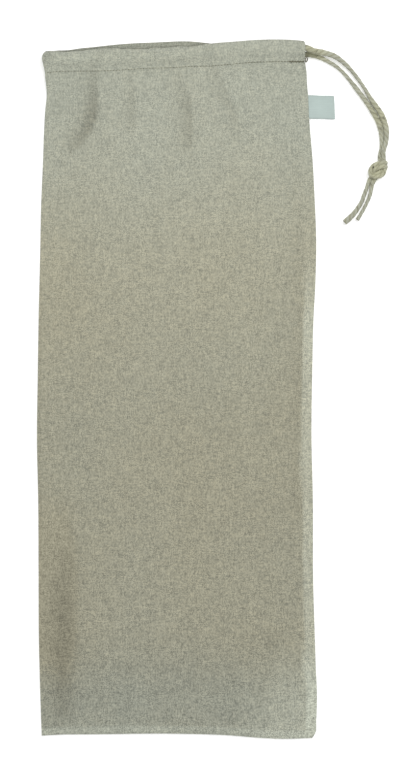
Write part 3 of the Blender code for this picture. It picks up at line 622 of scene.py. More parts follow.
def allowance(x, y):
    """1 where the seam's allowance lies under the cloth, along the right side and the bottom, 0 elsewhere."""
    from_right = right_side(y) - x + waves(ALLOWANCE_WAVES, y)
    side = smoothstep((ALLOWANCE_WIDTH - from_right) / ALLOWANCE_BLEND) * ramp(y, *ALLOWANCE_TOP)
    from_bottom = y - bottom_edge(x) + waves(BOTTOM_ALLOWANCE_WAVES, x)
    bottom = smoothstep((BOTTOM_ALLOWANCE_WIDTH - from_bottom) / (2 * ALLOWANCE_BLEND))
    return np.maximum(side, BOTTOM_ALLOWANCE * bottom)


def layer_thickness(below_fold, cord_drop, wall, depth):
    """The hem's thickness, full where the cord lies and flat at the fold and the stitching, then one wall."""
    rise = smoothstep(below_fold / (cord_drop - CORD_ROOM))
    fall = smoothstep((depth - below_fold) / (depth - cord_drop - CORD_ROOM))
    hem = CASING_FLAT + (CASING_FULL - CASING_FLAT) * rise * fall
    return mix(hem, wall, smoothstep((below_fold - depth) / SEAM_STEP))


def front_inner_height(across, y, below_fold, above_bottom, depth):
    """Height of the front layer's inner face. across runs from 0 at the left side to 1 at the right."""
    left, right = left_side(y), right_side(y)
    x = mix(left, right, across)
    inset = (right - left) * np.minimum(across, 1.0 - across)
    fullness = smoothstep(inset / CROWN_REACH) * smoothstep(above_bottom / BOTTOM_REACH)
    side = EDGE_HEIGHT - EDGE_WALL
    first, second = (np.sin(in_x * x + in_y * y + phase) for in_x, in_y, phase in SWELL_WAVES)
    wrinkles = sum(height * np.sin(in_x * x + in_y * y + phase) for in_x, in_y, phase, height in WRINKLES)
    relief = SWELL * first * second - fold_depth(x, y) + wrinkles
    relief = relief + ALLOWANCE_RISE * allowance(x, y)
    fade = smoothstep(inset / SIDE_FADE) * smoothstep(above_bottom / BOTTOM_FADE)
    body = side + (CROWN_INSIDE - side) * fullness + relief * fade
    mouth = MOUTH_HEIGHT + mix(MOUTH_GAP_SIDE, MOUTH_GAP_MIDDLE, smoothstep(inset / MOUTH_GAP_REACH))
    from_stitch = np.abs(below_fold - depth)
    pucker = waves(PUCKERS, x) * bell(from_stitch, PUCKER_REACH) * smoothstep(inset / SIDE_FADE)
    height = mix(mouth, body, smoothstep((below_fold - depth) / MOUTH_REACH))
    return height + pucker


# Stations across a layer, closer together near the sides
SIDE_STATIONS = np.array([0.0, 0.004, 0.0095, 0.017, 0.0265, 0.038, 0.0515])
STATIONS = np.concatenate([SIDE_STATIONS, np.linspace(0.066, 0.934, 103), 1.0 - SIDE_STATIONS[::-1]])
NOSE_ANGLES = np.radians([30.0, 60.0, 90.0, 120.0, 150.0])
# The path round the bag: the front layer from right to left, the fold at the left side, the back layer from
# left to right and, below the casing, the seam at the right side.
FRONT_COUNT = len(STATIONS)
OPEN_COUNT = 2 * FRONT_COUNT + len(NOSE_ANGLES)
ABOVE_BOTTOM = np.array([0.0, 0.0012, 0.0026, 0.0042, 0.0062, 0.0088])
BELOW_STITCH = np.array([0.0135, 0.0105, 0.0080, 0.0060, 0.0044, 0.0034, 0.0024, 0.0014, 0.0])
CASING_ROWS = 17
BODY_STEP, INNER_STEP = 0.0037, 0.0125
BOTTOM_ROUND, BOTTOM_LIFT, BOTTOM_WALL_REACH = 0.0008, 0.0004, 0.012


def across_place(share):
    return mix(MOUTH_LEFT, MOUTH_RIGHT, share)


class Pouch:
    """The bag's surface as rings round it, from its wall's thickness and its casing's depth."""

    def __init__(self, wall, casing_depth):
        self.wall, self.depth = wall, casing_depth
        self.front_top = mouth_front(across_place(STATIONS))
        self.front_drop = self.front_top - stitch_line(across_place(STATIONS))
        self.back_top = mouth_back(across_place(STATIONS))
        self.bottom = bottom_edge(mix(BOTTOM_EDGE[0][0], BOTTOM_EDGE[-1][0], STATIONS))
        self.length = np.mean(self.front_top - self.front_drop - self.bottom)
        self.seam_round = 0.5 * (MOUTH_HEIGHT + MOUTH_GAP_SIDE + CASING_FLAT)

    def ring(self, front_y, back_y, below_fold, above_bottom, inward, right_inset=None):
        """Points round the bag at one height along it.

        inward gives the depth below the outer face from a layer's thickness. right_inset is the casing's
        setback at its open end, or None below the casing, where the seam closes the ring at the right side.
        """
        front_thick = layer_thickness(below_fold, FRONT_DROP, self.wall, self.depth)
        back_thick = layer_thickness(below_fold, BACK_DROP, self.wall, self.depth)
        front_in, back_in = inward(front_thick), inward(back_thick)
        front_z = front_inner_height(STATIONS, front_y, below_fold, above_bottom, self.depth) + front_thick
        left_round = front_z[0] / 2
        left = left_side(front_y) + left_round
        if right_inset is None:
            right_round = front_z[-1] / 2
            right = right_side(front_y) - right_round
        else:
            right = right_side(front_y) - right_inset
        x = mix(left, right, STATIONS)
        front = np.stack([x, front_y, front_z - front_in], axis=1)[::-1]
        back = np.stack([x, back_y, np.full_like(x, back_in)], axis=1)

        def nose(centre_x, radius, y_ends, depths, side, turn):
            """A half circle in the ring's plane from one layer to the other, round a side."""
            share = np.arange(1, len(turn) + 1) / (len(turn) + 1)
            reach = radius - mix(*depths, share)
            height = radius + reach * np.cos(turn)
            return np.stack([centre_x + side * reach * np.sin(turn), mix(*y_ends, share), height], axis=1)

        left_ends = (front_y[0], back_y[0])
        pieces = [front, nose(left[0], left_round, left_ends, (front_in, back_in), -1, NOSE_ANGLES), back]
        if right_inset is None:
            right_ends = (back_y[-1], front_y[-1])
            pieces.append(nose(right[-1], right_round, right_ends, (back_in, front_in), 1, NOSE_ANGLES[::-1]))
        return np.concatenate(pieces)

    def body_ring(self, share, inner):
        """A ring below the casing. Inside, the last rows stop a wall's thickness above the bottom edge."""
        above_bottom = share * self.length
        lift = max(0.0, 1.0 - above_bottom / ABOVE_BOTTOM[1])
        if inner:
            above_bottom += self.wall * max(0.0, 1.0 - above_bottom / BOTTOM_WALL_REACH)
            lift = 0.0
        share = above_bottom / self.length
        front_y = mix(self.bottom, self.front_top - self.front_drop, share)
        back_y = mix(self.bottom, self.back_top - self.depth, share)
        below_fold = self.depth + (1.0 - share) * self.length
        inward = (lambda thick: thick) if inner else (lambda thick: 0.0)
        points = self.ring(front_y, back_y, below_fold, above_bottom, inward)
        upper = points[:, 2] > EDGE_HEIGHT / 2
        points[:, 2] += np.where(upper, -BOTTOM_ROUND * lift, BOTTOM_LIFT * lift)
        return points

    def casing_ring(self, below_fold, inward):
        """An open ring in the casing, at a distance below the folded edge."""
        corner = max(0.0, 1.0 - below_fold / CORNER_REACH)
        inset = self.seam_round * (below_fold / self.depth) ** SLIT_POWER + CORNER_ROUND * corner**2
        front_y = self.front_top - self.front_drop * below_fold / self.depth
        return self.ring(front_y, self.back_top - below_fold, below_fold, 1.0, inward, inset)

    def body_shares(self, step):
        """Places of the body's rows, from 0 at the bottom seam to 1 at the stitching."""
        low, high = ABOVE_BOTTOM / self.length, 1.0 - BELOW_STITCH / self.length
        count = round((high[0] - low[-1]) * self.length / step)
        return np.concatenate([low, np.linspace(low[-1], high[0], count + 1)[1:-1], high])

    def mesh(self):
        """The whole cloth as one closed surface: outer face, folded edge, inner face and casing's tunnel."""
        points, faces = [], []
        total = 0

        def add(rows):
            nonlocal total
            first = total
            points.append(rows.reshape(-1, 3))
            total += len(points[-1])
            return first + np.arange(len(points[-1])).reshape(rows.shape[:2])

        def strip(first, second):
            faces.extend(np.stack([first[:-1], first[1:], second[1:], second[:-1]], axis=1).tolist())

        casing_rows = self.depth * np.linspace(1.0, 0.0, CASING_ROWS + 2)[1:-1]
        casing_rows = np.append(casing_rows, [casing_rows[-1] / 2, casing_rows[-1] / 5])
        body_out = add(np.stack([self.body_ring(share, False) for share in self.body_shares(BODY_STEP)]))
        body_in = add(np.stack([self.body_ring(share, True) for share in self.body_shares(INNER_STEP)]))
        casing_out = add(np.stack([self.casing_ring(row, lambda thick: 0.0) for row in casing_rows]))
        casing_in = add(np.stack([self.casing_ring(row, lambda thick: thick) for row in casing_rows]))
        fold = add(self.casing_ring(0.0, lambda thick: thick / 2)[None])
        for sheet in (body_out, body_in):
            closed = np.concatenate([sheet, sheet[:, :1]], axis=1)
            for lower, upper in zip(closed[:-1], closed[1:]):
                strip(lower, upper)
            # The bottom edge joins the two layers station by station, and each side's few points in one face.
            front, back = sheet[0, :FRONT_COUNT][::-1], sheet[0, OPEN_COUNT - FRONT_COUNT : OPEN_COUNT]
            strip(front, back)
            faces.append(sheet[0, FRONT_COUNT - 1 : OPEN_COUNT - FRONT_COUNT + 1].tolist())
            faces.append(np.append(sheet[0, OPEN_COUNT - 1 :], sheet[0, 0]).tolist())
        # The seam's upper end, below the casing's open end
        slit = slice(OPEN_COUNT - 1, None)
        strip(np.append(body_out[-1, slit], body_out[-1, 0]), np.append(body_in[-1, slit], body_in[-1, 0]))
        hem = np.concatenate(
            [body_out[-1:, :OPEN_COUNT], casing_out, fold, casing_in[::-1], body_in[-1:, :OPEN_COUNT]]
        )
        for lower, upper in zip(hem[:-1], hem[1:]):
            strip(lower, upper)
        # The tunnel's ring follows the hem's ring row by row, closer in
        depths = np.concatenate([[self.depth], casing_rows, [0.0]])
        rows = TUNNEL_TOP + (TUNNEL_BOTTOM - TUNNEL_TOP) * depths / self.depth
        rings = [self.casing_ring(row, lambda thick: self.wall) for row in rows[:-1]]
        rings.append(self.casing_ring(TUNNEL_FOLD, lambda thick: thick / 2))
        rings += [self.casing_ring(row, lambda thick: thick - self.wall) for row in rows[-2::-1]]
        tunnel = add(np.stack(rings))
        closed = np.concatenate([tunnel, tunnel[:1]])
        for lower, upper in zip(closed[:-1], closed[1:]):
            strip(upper, lower)
        # The casing's two open ends, each a rim round its tunnel
        for end in (0, -1):
            strip(np.append(hem[:, end], hem[0, end]), np.append(tunnel[:, end], tunnel[0, end]))
        return np.concatenate(points), faces


def grid_faces(rows, columns, closed=True):
    """Quads of a grid of points whose rows follow one another, its columns closed into a ring or not."""
    row, column = np.mgrid[0 : rows - 1, 0 : columns if closed else columns - 1]
    following = (column + 1) % columns
    low, high = row * columns, (row + 1) * columns
    return np.stack([low + column, low + following, high + following, high + column], axis=-1).reshape(-1, 4)


def course_frames(points):
    """Directions along a centre line and two across it that turn as little as possible on the way."""
    ahead = np.gradient(points, axis=0)
    ahead /= np.linalg.norm(ahead, axis=1)[:, None]
    across = np.empty_like(ahead)
    start = np.cross(ahead[0], (0.0, 0.0, 1.0))
    across[0] = start / np.linalg.norm(start)
    for place in range(1, len(points)):
        turned = across[place - 1] - ahead[place] * (across[place - 1] @ ahead[place])
        across[place] = turned / np.linalg.norm(turned)
    return ahead, across, np.cross(ahead, across)


def ply_outline(angle):
    """The cord's outline as shares of its radius: three round plies with shallow grooves between them."""
    third = 2 * np.pi / 3
    off = (angle + third / 2) % third - third / 2
    plies = PLY_OFFSET * np.cos(off) + np.sqrt(PLY_SIZE**2 - (PLY_OFFSET * np.sin(off)) ** 2)
    deepest = PLY_OFFSET / 2 + np.sqrt(PLY_SIZE**2 - 0.75 * PLY_OFFSET**2)
    crest = (plies - deepest) / (1.0 - deepest)
    return 1.0 - GROOVE_DEPTH * (1.0 - crest), crest


def rope_grid(line, lay, loft=1.0):
    """A twisted cord's grid: the ply outline carried along its centre line, turned once in each lay length.

    Each point of the line has its radius as a fourth number. Returns the points, each one's height on its ply
    from groove to crest, and its place round and along.
    """
    points, radius = line[:, :3].copy(), line[:, 3] * loft
    points[:, 2] = np.maximum(points[:, 2], radius)
    _, across, up = course_frames(points)
    run = np.concatenate([[0.0], np.cumsum(np.linalg.norm(np.diff(points, axis=0), axis=1))])
    angle = np.linspace(0.0, 2 * np.pi, CORD_SIDES, endpoint=False)
    share, crest = ply_outline(angle)
    turned = angle[None, :] - 2 * np.pi * run[:, None] / lay
    loose = 1.0 + waves(GIRTH_WAVES, run)
    from_end = np.minimum(run, run[-1] - run)
    end = np.sqrt(1.0 - (1.0 - np.clip(from_end / (END_ROUND * CORD_RADIUS), 0.0, 1.0)) ** 2)
    reach = share[None, :] * (radius * loose * mix(END_GIRTH, 1.0, end))[:, None]
    grid = (
        points[:, None]
        + (reach * np.cos(turned))[..., None] * across[:, None]
        + (reach * np.sin(turned))[..., None] * up[:, None]
    )
    place = np.stack(np.broadcast_arrays(angle[None, :] / (2 * np.pi), run[:, None]), axis=-1)
    crest = crest[None, :] * smoothstep(from_end / CUT_END)[:, None]
    return grid, crest, place


def strand_route(strand, side, tail):
    """A strand's centre line through the knot, on one side of the knot's middle, to the tail's end."""
    knot = np.array(KNOT)
    across = knot[:, 3:] / np.linalg.norm(knot[:, 3:], axis=1)[:, None]
    through = knot[:, :3] + side * KNOT_SPREAD * across
    through = np.concatenate([through, np.full((len(knot), 1), KNOT_RADIUS)], axis=1)
    return even_points(np.concatenate([strand, through, tail]), CORD_STEP)


def hidden_route():
    """The cord's run in the casing: along the front layer, round the left fold and along the back layer."""
    middle = CASING_FULL / 2
    centre_z = MOUTH_HEIGHT + MOUTH_GAP_SIDE / 2
    width = MOUTH_RIGHT - MOUTH_LEFT
    first = 1.0 - (right_side(STRAND_FRONT[0][1]) - STRAND_FRONT[0][0] + HIDDEN_GAP) / width
    share = np.linspace(first, HIDDEN_TURN_FROM / width, round(first * width / HIDDEN_STEP))
    front_drop, back_drop = mix(*HIDDEN_FRONT_DROP, share), mix(*HIDDEN_BACK_DROP, share)
    front_y = front_edge(across_place(share)) - front_drop
    back_y = mouth_back(across_place(share)) - back_drop
    inset = width * np.minimum(share, 1.0 - share)
    gap = mix(MOUTH_GAP_SIDE, MOUTH_GAP_MIDDLE, smoothstep(inset / MOUTH_GAP_REACH))
    front_z = MOUTH_HEIGHT + gap + middle
    front_x = mix(left_side(front_y) + centre_z, right_side(front_y), share)
    back_x = mix(left_side(back_y) + centre_z, right_side(back_y), share)
    front = np.stack([front_x, front_y, front_z], axis=1)
    back = np.stack([back_x, back_y, np.full_like(back_x, middle)], axis=1)[::-1]
    turn = np.linspace(0.0, np.pi, TURN_POINTS)
    turn_y = mix(front_y[-1], back_y[-1], (1 - np.cos(turn)) / 2)
    height = mix(front_z[-1], middle, (1 - np.cos(turn)) / 2)
    reach = (front_z[-1] - middle) / 2
    fold = np.stack([left_side(turn_y) + centre_z - reach * np.sin(turn), turn_y, height], axis=1)
    route = even_points(np.concatenate([front, fold[1:-1], back]), 2 * CORD_STEP)
    return np.concatenate([route, np.full((len(route), 1), CORD_RADIUS)], axis=1)


def capsules(starts, ends, radius, lift, sides=6):
    """Short threads from starts to ends: five rings each, thin at both ends, bowed upwards in the middle."""
    along, girth, bow = np.array(STITCH_RINGS).T
    ahead = (ends - starts) / np.linalg.norm(ends - starts, axis=1)[:, None]
    side = np.cross(ahead, (0.0, 0.0, 1.0))
    side /= np.linalg.norm(side, axis=1)[:, None]
    up = np.cross(side, ahead) * np.broadcast_to(lift, len(starts))[:, None]
    angle = np.linspace(0.0, 2 * np.pi, sides, endpoint=False)
    centre = mix(starts[:, None], ends[:, None], along[None, :, None])
    centre = centre + radius * bow[None, :, None] * up[:, None]
    reach = radius * girth[None, :, None, None]
    points = centre[:, :, None] + reach * (
        np.cos(angle)[None, None, :, None] * side[:, None, None]
        + np.sin(angle)[None, None, :, None] * up[:, None, None]
    )
    count = len(starts)
    body = grid_faces(len(along), sides)
    ends_of = np.stack([np.arange(sides), (len(along) - 1) * sides + np.arange(sides)[::-1]])
    first = (np.arange(count) * len(along) * sides)[:, None, None]
    faces = (body[None] + first).reshape(-1, 4).tolist() + (ends_of[None] + first).reshape(-1, sides).tolist()
    return points.reshape(-1, 3), faces


def new_collection(name):
    found = bpy.data.collections.get(name)
    if found is None:
        found = bpy.data.collections.new(name)
        bpy.context.scene.collection.children.link(found)
    return found


def mesh_piece(name, points, faces, finish, attributes=None):
    """A piece at the origin, its faces turned outwards, with its points' values in its attributes."""
    mesh = bpy.data.meshes.new(name)
    mesh.from_pydata(np.asarray(points).tolist(), [], faces if isinstance(faces, list) else faces.tolist())
    for title, (kind, values) in (attributes or {}).items():
        layer = mesh.attributes.new(title, kind, "POINT")
        field = "value" if kind == "FLOAT" else "vector"
        layer.data.foreach_set(field, np.ascontiguousarray(values, np.float32).ravel())
    shape = bmesh.new()
    shape.from_mesh(mesh)
    bmesh.ops.recalc_face_normals(shape, faces=shape.faces)
    shape.to_mesh(mesh)
    shape.free()
    mesh.shade_smooth()
    mesh.set_sharp_from_angle(angle=SMOOTH_ANGLE)
    mesh.materials.append(finish)
    made = bpy.data.objects.new(name, mesh)
    new_collection("bread_bag").objects.link(made)
    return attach(made, "root")


class Value:
    """A shader's number that Python expressions work on. Each operator adds the Math node for it."""

    def __init__(self, finish, socket):
        self.finish, self.socket = finish, socket

    def math(self, operation, *values):
        return self.finish.node("ShaderNodeMath", {"operation": operation}, values)

    def __add__(self, other):
        return self.math("ADD", self, other)

    def __sub__(self, other):
        return self.math("SUBTRACT", self, other)

    def __rsub__(self, other):
        return self.math("SUBTRACT", other, self)

    def __mul__(self, other):
        return self.math("MULTIPLY", self, other)

    def __pow__(self, other):
        return self.math("POWER", self, other)

    __radd__ = __add__
    __rmul__ = __mul__

    def sine(self):
        return self.math("SINE", self)

    def floor(self):
        return self.math("FLOOR", self)

    def at_least(self, other):
        return self.math("MAXIMUM", self, other)

    def at_most(self, other):
        return self.math("MINIMUM", self, other)


class Finish:
    """A material under construction, with one method that adds any node."""

    def __init__(self, name, roughness, sheen=0.0):
        self.material = bpy.data.materials.new(name)
        self.material.use_nodes = True
        self.tree = self.material.node_tree
        self.shader = self.tree.nodes["Principled BSDF"]
        self.shader.inputs["Roughness"].default_value = roughness
        self.shader.inputs["Specular IOR Level"].default_value = 0.25
        self.shader.inputs["Sheen Weight"].default_value = sheen
        self.shader.inputs["Sheen Roughness"].default_value = 0.6

    def fill(self, socket, value):
        if isinstance(value, Value):
            self.tree.links.new(value.socket, socket)
        else:
            socket.default_value = value

    def node(self, kind, settings=None, values=(), output=0):
        """A node of a kind, its settings first, then its sockets' values or links by place or name."""
        made = self.tree.nodes.new(kind)
        for setting, value in (settings or {}).items():
            setattr(made, setting, value)
        pairs = values.items() if isinstance(values, dict) else enumerate(values)
        for socket, value in pairs:
            self.fill(made.inputs[socket], value)
        return Value(self, made.outputs[output])

    def place(self, scale, turn=(0.0, 0.0, 0.0), source=None):
        """Object coordinates, or another vector, stretched by a scale and turned."""
        if source is None:
            source = self.node("ShaderNodeTexCoord", output="Object")
        settings = {"vector_type": "POINT"}
        return self.node("ShaderNodeMapping", settings, {"Vector": source, "Scale": scale, "Rotation": turn})

    def noise(self, scale, detail=2.0, rough=0.5, turn=(0.0, 0.0, 0.0), source=None):
        """Noise about 0, from about -0.5 to 0.5, with its grains as long each way as 1 / scale."""
        place = self.place(scale, turn, source)
        values = {"Vector": place, "Scale": 1.0, "Detail": detail, "Roughness": rough}
        return self.node("ShaderNodeTexNoise", {}, values) - 0.5

    def random(self, *cell):
        """A random number about 0, from -0.5 to 0.5, for each cell of a grid with three whole numbers."""
        place = self.node("ShaderNodeCombineXYZ", {}, cell)
        return self.node("ShaderNodeTexWhiteNoise", {"noise_dimensions": "3D"}, [place]) - 0.5

    def part(self, axis, source=None):
        """One of the three numbers of Object coordinates or of another vector."""
        if source is None:
            source = self.node("ShaderNodeTexCoord", output="Object")
        return self.node("ShaderNodeSeparateXYZ", {}, [source], output=axis)

    def attribute(self, name, output="Fac"):
        return self.node("ShaderNodeAttribute", {"attribute_name": name}, output=output)

    def mixed(self, first, second, share):
        settings = {"data_type": "RGBA", "blend_type": "MIX", "clamp_factor": True}
        return self.node("ShaderNodeMix", settings, {0: share, 6: first, 7: second}, output=2)

    def scaled(self, colour, value):
        """A colour times a number, on each of its three parts."""
        return self.node("ShaderNodeVectorMath", {"operation": "SCALE"}, {0: colour, "Scale": value})

    def surface(self, colour, height, bump, rough=None):
        """Links the colour and the relief, whose height is in metres."""
        normal = self.node("ShaderNodeBump", {}, {"Strength": bump, "Distance": 1.0, "Height": height})
        self.fill(self.shader.inputs["Base Color"], colour)
        self.fill(self.shader.inputs["Normal"], normal)
        if rough is not None:
            self.fill(self.shader.inputs["Roughness"], rough)
        return self.material


def linen_finish(name, colour, warm_colour, pitch, contrast):
    """Plain linen, thread by thread: a thread keeps a brightness for a while, and each crossing has its own.

    Columns and rows number the warp and weft threads, which sway a little. Slubs are sparse dark runs of a
    thread.
    """
    finish = Finish(name, roughness=0.92, sheen=0.12)
    across, along = finish.part("X"), finish.part("Y")
    warp_sway, weft_sway = finish.noise((30.0, 18.0, 30.0)), finish.noise((18.0, 30.0, 30.0), detail=1.0)
    column = ((across + SWAY * warp_sway) * (WARP_COUNT / pitch)).floor()
    row = ((along + SWAY * weft_sway) * (WEFT_COUNT / pitch)).floor()
    warp_run = (along * (1.0 / THREAD_RUN) + RUN_SHIFT * finish.random(column, 0.0, 1.0)).floor()
    weft_run = (across * (1.0 / THREAD_RUN) + RUN_SHIFT * finish.random(row, 0.0, 3.0)).floor()
    warp, weft = finish.random(column, warp_run, 2.0), finish.random(row, weft_run, 4.0)
    crossing = finish.random(column, row, 5.0)
    warp_slubs = (finish.noise((900.0, 22.0, 60.0), detail=1.0) - SLUB_FLOOR).at_least(0.0)
    weft_slubs = (finish.noise((34.0, 900.0, 60.0), detail=1.0) - SLUB_FLOOR).at_least(0.0)
    drift = finish.noise((7.0, 5.0, 7.0), detail=2.0)
    pattern = WARP_SHARE * warp + WEFT_SHARE * weft + CROSSING_SHARE * crossing
    pattern = pattern - SLUB_SHARE * warp_slubs - SLUB_SHARE * weft_slubs
    light = 1.0 + (contrast - CONTRAST_FALL * along) * pattern + DRIFT_SHARE * drift
    warmth = finish.attribute("warmth") + DRIFT_WARMTH * drift
    warmth = warmth + THREAD_WARMTH * crossing + THREAD_WARMTH * weft
    cloth = finish.mixed((*colour, 1.0), (*warm_colour, 1.0), warmth)
    turn = np.pi / pitch
    weave = (across * turn).sine() * (along * turn).sine()
    fuzz = finish.noise((500.0, 500.0, 500.0), detail=2.0)
    height = WEAVE_HEIGHT * weave + FUZZ_HEIGHT * fuzz
    # The shading attribute brings the painted shade and painted light into the cloth's colour
    return finish.surface(finish.scaled(cloth, light * finish.attribute("painted_shading")), height, 0.7)


def cord_finish(name, colour, warm_colour, groove_shade_colour):
    """Soft cotton plies: pale crests, olive grooves darkened with painted shade, olive strokes, and
    fine yarns slanting across each ply.
    """
    finish = Finish(name, roughness=0.88, sheen=0.2)
    place = finish.attribute("round_and_along", output="Vector")
    fibres = finish.noise((36.0, 520.0, 1.0), detail=3.0, rough=0.6, source=place)
    patches = finish.noise((2.0, 95.0, 1.0), detail=2.0, source=place)
    round_ply, along = finish.part("X", place), finish.part("Y", place)
    yarns = (round_ply * (2 * np.pi * YARNS_ROUND) + along * (2 * np.pi / YARN_PITCH)).sine()
    pale = finish.attribute("crest") ** CREST_POWER + FIBRE_PALE * fibres + PATCH_PALE * patches
    warm = finish.attribute("warmth")
    plies = finish.mixed((*colour, 1.0), (*warm_colour, 1.0), warm)
    # painted shade: the grooves between the plies take the darker groove colour
    body = finish.mixed((*groove_shade_colour, 1.0), plies, pale.at_most(1.0).at_least(0.0))
    strokes = (finish.noise((3.0, 210.0, 1.0), detail=1.0, source=place) - STROKE_FLOOR).at_least(0.0)
    light = 1.0 + FIBRE_SHARE * fibres + PATCH_SHARE * patches + YARN_SHARE * yarns
    # The shading attribute brings the cord's painted shade and painted light into its colour
    light = (light - strokes * (STROKE_DEPTH + WARM_STROKE_DEPTH * warm)) * finish.attribute("painted_shading")
    return finish.surface(finish.scaled(body, light), FIBRE_HEIGHT * fibres + YARN_HEIGHT * yarns, 0.8)


def ribbon_finish(name, colour):
    """A woven ribbon with fine ribs along its length and a faint cross thread, a little glossy."""
    finish = Finish(name, roughness=0.5, sheen=0.1)
    ribs = (finish.part("Y") * (2 * np.pi / RIB_PITCH)).sine()
    cross = (finish.part("X") * (2 * np.pi / CROSS_PITCH)).sine()
    cloud = finish.noise((160.0, 90.0, 90.0), detail=3.0)
    threads = finish.noise((80.0, 2200.0, 200.0), detail=1.0)
    light = 1.0 + RIB_SHARE * ribs + CROSS_SHARE * cross + CLOUD_SHARE * cloud + THREAD_SHARE * threads
    # The shading attribute brings the ribbon's painted light and painted shade into its colour
    body = finish.scaled((*colour,), light * finish.attribute("painted_shading"))
    height = RIB_HEIGHT * ribs + CROSS_HEIGHT * cross + THREAD_HEIGHT * threads
    return finish.surface(body, height, 0.5, rough=RIBBON_ROUGHNESS + THREAD_ROUGHNESS * threads)


def thread_finish(name, colour):
    """Sewing thread: fine slanted filaments on a dark olive-grey."""
    finish = Finish(name, roughness=0.8)
    filaments = finish.noise((2600.0, 900.0, 900.0), detail=2.0, turn=(0.0, 0.0, 0.5))
    body = finish.scaled((*colour,), 1.0 + FILAMENT_SHARE * filaments)
    return finish.surface(body, FILAMENT_HEIGHT * filaments, 0.6)


def floor_finish(name, colour, glow):
    """A matt white studio table, with a little light of its own as a light table has."""
    finish = Finish(name, roughness=1.0)
    speck = finish.noise((14.0, 14.0, 14.0), detail=1.0)
    body = finish.scaled((*colour,), 1.0 + SPECK_SHARE * speck)
    finish.fill(finish.shader.inputs["Base Color"], body)
    finish.shader.inputs["Emission Color"].default_value = (1.0, 1.0, 1.0, 1.0)
    finish.shader.inputs["Emission Strength"].default_value = glow
    return finish.material


class ClothSizes(bpy.types.PropertyGroup):
    wall: bpy.props.FloatProperty(
        name="Cloth thickness", description="Thickness of one wall of linen", default=0.0008, unit="LENGTH"
    )
    casing_depth: bpy.props.FloatProperty(
        name="Casing depth",
        description="From the mouth's folded edge to the stitching",
        default=0.0214,
        unit="LENGTH",
    )
    thread_pitch: bpy.props.FloatProperty(
        name="Thread pitch",
        description="From one thread of the weave to the next",
        default=0.00100,
        unit="LENGTH",
    )
    contrast: bpy.props.FloatProperty(
        name="Weave contrast", description="How much the threads differ in brightness", default=0.34
    )
    colour: bpy.props.FloatVectorProperty(
        name="Linen",
        description="The cloth's cool grey-green",
        subtype="COLOR",
        default=(0.419, 0.437, 0.360),
    )
    warm_colour: bpy.props.FloatVectorProperty(
        name="Warm linen",
        description="The cloth's warmer beige",
        subtype="COLOR",
        default=(0.425, 0.403, 0.292),
    )
    thread_colour: bpy.props.FloatVectorProperty(
        name="Sewing thread",
        description="The stitching's colour",
        subtype="COLOR",
        default=(0.16, 0.155, 0.105),
    )


class CordSizes(bpy.types.PropertyGroup):
    radius: bpy.props.FloatProperty(
        name="Cord radius", description="Half the drawstring's thickness", default=CORD_RADIUS, unit="LENGTH"
    )
    lay: bpy.props.FloatProperty(
        name="Lay", description="Length of one turn of the three plies", default=0.018, unit="LENGTH"
    )
    colour: bpy.props.FloatVectorProperty(
        name="Cord", description="The plies' pale beige", subtype="COLOR", default=(0.46, 0.47, 0.38)
    )
    warm_colour: bpy.props.FloatVectorProperty(
        name="Warm cord",
        description="The olive tint that it has in places",
        subtype="COLOR",
        default=(0.475, 0.475, 0.33),
    )
    # The darker olive that paints shade into the grooves between the plies
    groove_shade_colour: bpy.props.FloatVectorProperty(
        name="Grooves",
        description="The olive shade between the plies",
        subtype="COLOR",
        default=(0.31, 0.30, 0.195),
    )


class LabelSizes(bpy.types.PropertyGroup):
    thickness: bpy.props.FloatProperty(
        name="Ribbon thickness", description="Thickness of the folded ribbon", default=0.0005, unit="LENGTH"
    )
    colour: bpy.props.FloatVectorProperty(
        name="Ribbon", description="The bare label's colour", subtype="COLOR", default=(0.47, 0.56, 0.53)
    )


class StageSizes(bpy.types.PropertyGroup):
    camera_height: bpy.props.FloatProperty(
        name="Camera height",
        description="From the view's plane up to the camera",
        default=12.0,
        unit="LENGTH",
    )
    floor_colour: bpy.props.FloatVectorProperty(
        name="Floor", description="The table's colour", subtype="COLOR", default=(0.93, 0.93, 0.93)
    )
    floor_glow: bpy.props.FloatProperty(
        name="Floor glow", description="Light that the table gives by itself", default=0.36
    )
    key: bpy.props.FloatProperty(
        name="Key light", description="Power of the soft key light", default=36.0, unit="POWER"
    )
    fill: bpy.props.FloatProperty(name="Sky", description="Brightness of the pale surroundings", default=0.38)


class BreadBag(bpy.types.PropertyGroup):
    cloth: bpy.props.PointerProperty(type=ClothSizes)
    cord: bpy.props.PointerProperty(type=CordSizes)
    label: bpy.props.PointerProperty(type=LabelSizes)
    stage: bpy.props.PointerProperty(type=StageSizes)


def area_light(name, place, size, power):
    """A square soft light that looks at the origin."""
    light = bpy.data.lights.new(name, "AREA")
    light.shape, light.size, light.energy = "SQUARE", size, power
    made = bpy.data.objects.new(name, light)
    made.location = place
    made.rotation_mode = "QUATERNION"
    made.rotation_quaternion = (-Vector(place)).to_track_quat("-Z", "Y")
    bpy.context.scene.collection.objects.link(made)


